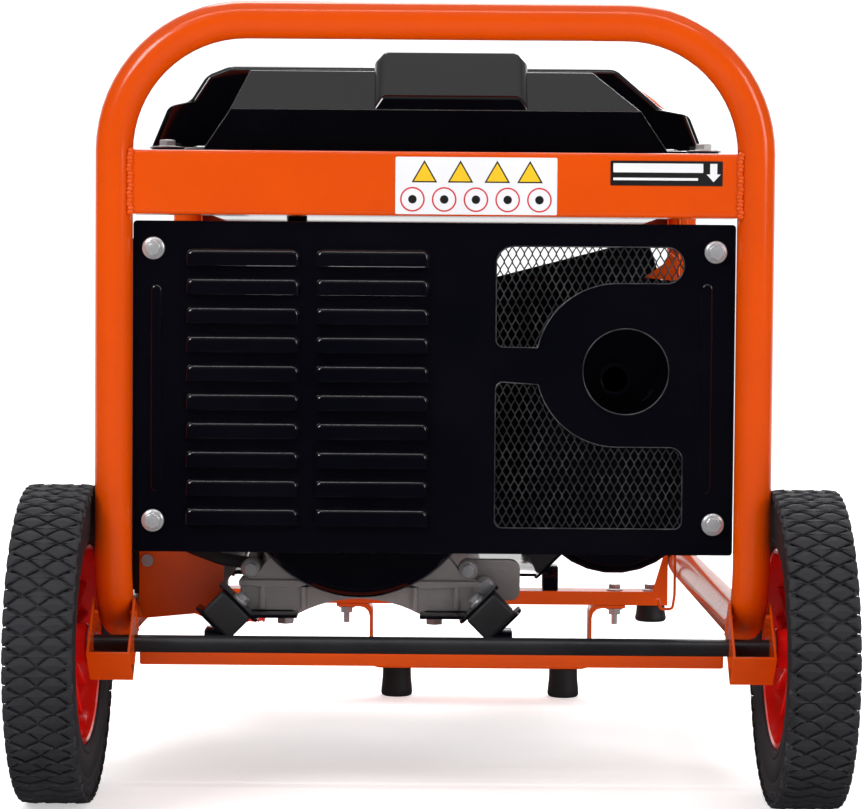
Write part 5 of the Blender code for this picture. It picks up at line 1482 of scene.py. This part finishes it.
# control box, sockets and levers
def buildControls():
    boxLow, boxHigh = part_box("control_box")
    vents = [slab((boxHigh.x - 0.001, boxLow.y + 0.03, z), (boxHigh.x + 0.001, boxLow.y + 0.11, z + 0.004),
                  0.0007, 1)
             for z in (0.33, 0.34, 0.35, 0.36, 0.37)]
    giveNode("control_box", "controlBox", "mouldedPlastic", 0.003, 4, 30, extras=vents)
    giveNode("control_panel", "controlFace", "blackCoat", 0.0005, 2, 30)
    low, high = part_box("control_panel")
    screws = [rod((low.x + 0.0002, y, z), toLeft, 0.0022, 0.0044, 28, 0.0008)
              for y in (low.y + 0.01, high.y - 0.01) for z in (low.z + 0.01, high.z - 0.01)]
    give(joined(screws), "panelScrews", "zincPlate")
    buildMeter(Vector((low.x, -0.07, 0.372)))
    # each row: where a printed mark runs along the panel, from y and z to y and z
    marks = [(0.04, 0.402, 0.077, 0.409), (0.047, 0.252, 0.07, 0.258)]
    for place in ("near", "far"):
        middle, backX = middleOf(f"socket_{place}"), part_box(f"socket_{place}")[1].x - 0.0042
        giveNode(f"socket_{place}", f"socketBody_{place}", "mouldedPlastic", 0.0006, 2, 30)
        pins = [rod((backX, y, z), toLeft, 0.001, 0.0021, 20, 0.0003)
                for y, z in arc((middle.y, middle.z), 0.0072, 90, 330, 2)]
        give(joined(pins), f"socketPins_{place}", "zincPlate")
        lid = f"socket_lid_{place}"
        ridge = ring((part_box(lid)[0].x + 0.0003, middleOf(lid).y, middle.z), toRight, 0.019, 0.0007, 64)
        giveNode(lid, f"socketFlap_{place}", "mouldedPlastic", 0.0007, 3, 30, body=lid, extras=[ridge])
        marks.append((middle.y - 0.018, 0.27, middle.y + 0.018, 0.277))
    plates = [slab((low.x - 0.0003, y0, z0), (low.x, y1, z1), 0.0001, 1) for y0, z0, y1, z1 in marks]
    give(joined(plates), "panelMarks", "labelWhite")
    giveNode("engine_switch", "keySwitch", "redPlastic", 0.0008, 3, 30, body="engine_switch")
    giveNode("breaker_button", "breakerCap", "labelWhite", 0.001, 3, 30, body="breaker_button")
    collars = [ring((low.x, 0.0585, 0.227), toRight, 0.0118, 0.0014, 48),
               ring((low.x, 0.0585, 0.372), toRight, 0.0172, 0.0014, 64)]
    give(joined(collars), "controlCollars", "mouldedPlastic")
    cable = pipe(bent([(-0.205, -0.17, 0.2), (-0.205, -0.19, 0.2), (-0.175, -0.2, 0.19),
                       (-0.15, -0.188, 0.185)], 0.012, 6), 0.0052, 4)
    give(cable, "powerCable", "softRubber")
    print("controls built")


def buildMeter(meter):
    # voltmeter: bezel, dial, glass and needle, with plain tick marks
    bezel = lathe([(0.024, 0.0), (0.027, 0.0), (0.027, 0.0055), (0.0255, 0.007), (0.0235, 0.007),
                   (0.0225, 0.005), (0.024, 0.0)], meter, toLeft, 64, 40)
    give(bezel, "meterBezel", "mouldedPlastic")
    give(rod(meter, toLeft, 0.003, 0.0236, 64, 0.0002), "meterDial", "meterGlass")
    marks = []
    for i in range(9):
        tick = slab((-0.0006, -0.00045, 0.0165 if i % 2 else 0.015), (0.0002, 0.00045, 0.02))
        turned(tick, math.radians(15 * i - 60), "X")
        marks.append(moved(tick, meter + Vector((-0.0031, 0, -0.004))))
    needle = slab((-0.0005, -0.0004, 0.0), (0.0003, 0.0004, 0.016))
    turned(needle, math.radians(-35), "X")
    marks.append(moved(needle, meter + Vector((-0.0036, 0, -0.004))))
    marks.append(rod(meter + Vector((-0.003, 0, -0.004)), toLeft, 0.0018, 0.0028, 24, 0.0004))
    give(joined(marks), "meterMarks", "labelBlack")


def buildFoldHandle():
    giveNode("fold_handle", "foldArm", "orangeCoat", 0.001, 3, 30, body="handle")
    middle = middleOf("handle_grip")
    beads = [ring((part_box("handle_grip")[0].x + 0.006 + 0.0058 * i, middle.y, middle.z), toRight, 0.0146,
                  0.0009, 40)
             for i in range(9)]
    giveNode("handle_grip", "ribbedGrip", "redGrip", 0.0014, 3, 30, body="handle", extras=beads)
    nut = hexBolt((-0.262, 0.3816, 0.46), toBack, 0.009, 0.012, 0.0016)
    give(nut, "pivotBolt", "zincPlate", "handle")


def buildLeftPlate():
    # dark orange bracket plate between the left leg and the bearing casting
    plate = cutSheet([[(-0.245, 0.137), (-0.174, 0.144), (-0.174, 0.2), (-0.245, 0.2)]],
                     nearY + 0.084, 0.002)
    plate = chamfer(plate, 0.0005, 2)
    give(plate, "terminalPlate", "orangeCoat")
    screw = rod((-0.238, nearY + 0.084, 0.186), toFront, 0.0026, 0.0052, 28, 0.0009)
    give(screw, "plateScrew", "zincPlate")


buildFrame()
buildLabels()
buildEndPanel()
buildExpandedMesh()
buildPanelBolts()
buildTank()
buildCap()
buildTap()
buildWheels()
buildStand()
buildMounts()
buildAlternator()
buildEngine()
buildCooling()
buildExhaust()
buildIntake()
buildControls()
buildFoldHandle()
buildLeftPlate()


# floor, light and camera
stageSpec = dict(distance=2.0, height=0.402, lens=104.2, pitch=2.3, roll=0.45, yaw=0.034,
                 world=0.5, glossRoof=0.55, paperGlow=0.48, floorSize=12, wallHeight=6, sweep=2.5)


def splitGloss(tree, seen, reflected, output):
    # what the gloss of the machine reflects is kept apart from what the eye sees
    choose = add(tree, "ShaderNodeMixShader")
    tree.links.new(add(tree, "ShaderNodeLightPath").outputs["Is Glossy Ray"], choose.inputs[0])
    tree.links.new(seen.outputs[0], choose.inputs[1])
    tree.links.new(reflected.outputs[0], choose.inputs[2])
    tree.links.new(choose.outputs[0], tree.nodes[output].inputs["Surface"])


def buildStage():
    deselect()
    bpy.ops.mesh.primitive_plane_add(size=1, location=(0, 0, 0))
    floor = current()
    floor.scale = (stageSpec["floorSize"], stageSpec["floorSize"], 1)
    settle(floor)
    pick(floor, "EDGE", lambda a, b: a.y > 5 and b.y > 5)
    bpy.ops.mesh.extrude_edges_move(TRANSFORM_OT_translate={"value": (0, 0, stageSpec["wallHeight"])})
    done()
    roundEdges(floor, stageSpec["sweep"], 16, lambda a, b: max(abs(a.y - 6), abs(b.y - 6), a.z, b.z) < 0.01)
    smooth(floor, 60)
    floor.name = "studioFloor"
    paper = bpy.data.materials.new("paper")
    paper.use_nodes = True
    tree = paper.node_tree
    shader = tree.nodes["Principled BSDF"]
    shader.inputs["Roughness"].default_value = 0.9
    tone = ramp(tree, noise(tree, objectPlace(tree), 3.0, 4.0), 0.2, 0.8)
    tree.links.new(blendColour(tree, tone, (0.93, 0.93, 0.93), (0.9, 0.9, 0.9)), shader.inputs["Base Color"])
    shader.inputs["Emission Color"].default_value = (1, 1, 1, 1)
    shader.inputs["Emission Strength"].default_value = stageSpec["paperGlow"]
    # the paper is darker in the gloss of the machine, as with black cards beside the lens
    card = add(tree, "ShaderNodeEmission")
    spot = add(tree, "ShaderNodeSeparateXYZ")
    tree.links.new(objectPlace(tree), spot.inputs[0])
    tree.links.new(ramp(tree, spot.outputs["Y"], 0.5, 3.0), card.inputs["Strength"])
    splitGloss(tree, shader, card, "Material Output")
    floor.data.materials.append(paper)
    world = bpy.data.worlds.new("studio")
    bpy.context.scene.world = world
    world.use_nodes = True
    tree = world.node_tree
    back = tree.nodes["Background"]
    back.inputs["Color"].default_value = (1, 1, 1, 1)
    seen = add(tree, "ShaderNodeLightPath").outputs["Is Camera Ray"]
    tree.links.new(maths(tree, "MAXIMUM", seen, stageSpec["world"]), back.inputs["Strength"])
    dark = add(tree, "ShaderNodeBackground")
    dark.inputs["Color"].default_value = (1, 1, 1, 1)
    ahead = add(tree, "ShaderNodeSeparateXYZ")
    tree.links.new(add(tree, "ShaderNodeTexCoord").outputs["Generated"], ahead.inputs[0])
    wall = ramp(tree, ahead.outputs["Y"], 0.42, 0.95)
    roof = times(tree, ramp(tree, ahead.outputs["Z"], 0.35, 1.0), stageSpec["glossRoof"])
    tree.links.new(maths(tree, "MAXIMUM", wall, roof), dark.inputs["Strength"])
    splitGloss(tree, back, dark, "World Output")
    lamps = (
        ("keyLamp", (-1.9, -2.4, 2.2), (0.9, 0.9), 36),
        ("fillLamp", (2.4, -1.8, 1.4), (0.6, 1.4), 20),
        ("topLamp", (0.0, 1.3, 2.6), (1.6, 1.2), 30),
        ("backLamp", (0.6, 2.6, 1.8), (1.6, 1.2), 30),
        ("hoopStrip", (0.0, -1.3, 2.2), (2.4, 0.08), 8),
    )
    for name, place, size, power in lamps:
        light = bpy.data.lights.new(name, "AREA")
        light.shape = "RECTANGLE"
        light.size, light.size_y = size
        light.energy = power
        lamp = bpy.data.objects.new(name, light)
        lamp.location = place
        lamp.rotation_euler = (Vector((0, 0, 0.3)) - Vector(place)).to_track_quat("-Z", "Y").to_euler()
        bpy.context.scene.collection.objects.link(lamp)
    bpy.context.scene.view_settings.view_transform = "Standard"
    eye = bpy.data.cameras.new("eye")
    eye.lens = stageSpec["lens"]
    eye.sensor_width = 36
    eye.clip_start = 0.05
    camera = bpy.data.objects.new("eye", eye)
    camera.location = (0.0, nearY - stageSpec["distance"], stageSpec["height"])
    spin = Matrix.Rotation(math.radians(stageSpec["yaw"]), 4, "Z")
    spin @= Matrix.Rotation(math.radians(90 - stageSpec["pitch"]), 4, "X")
    spin @= Matrix.Rotation(math.radians(stageSpec["roll"]), 4, "Z")
    camera.rotation_euler = spin.to_euler()
    bpy.context.scene.collection.objects.link(camera)
    bpy.context.scene.camera = camera
    print("stage lit")


buildStage()
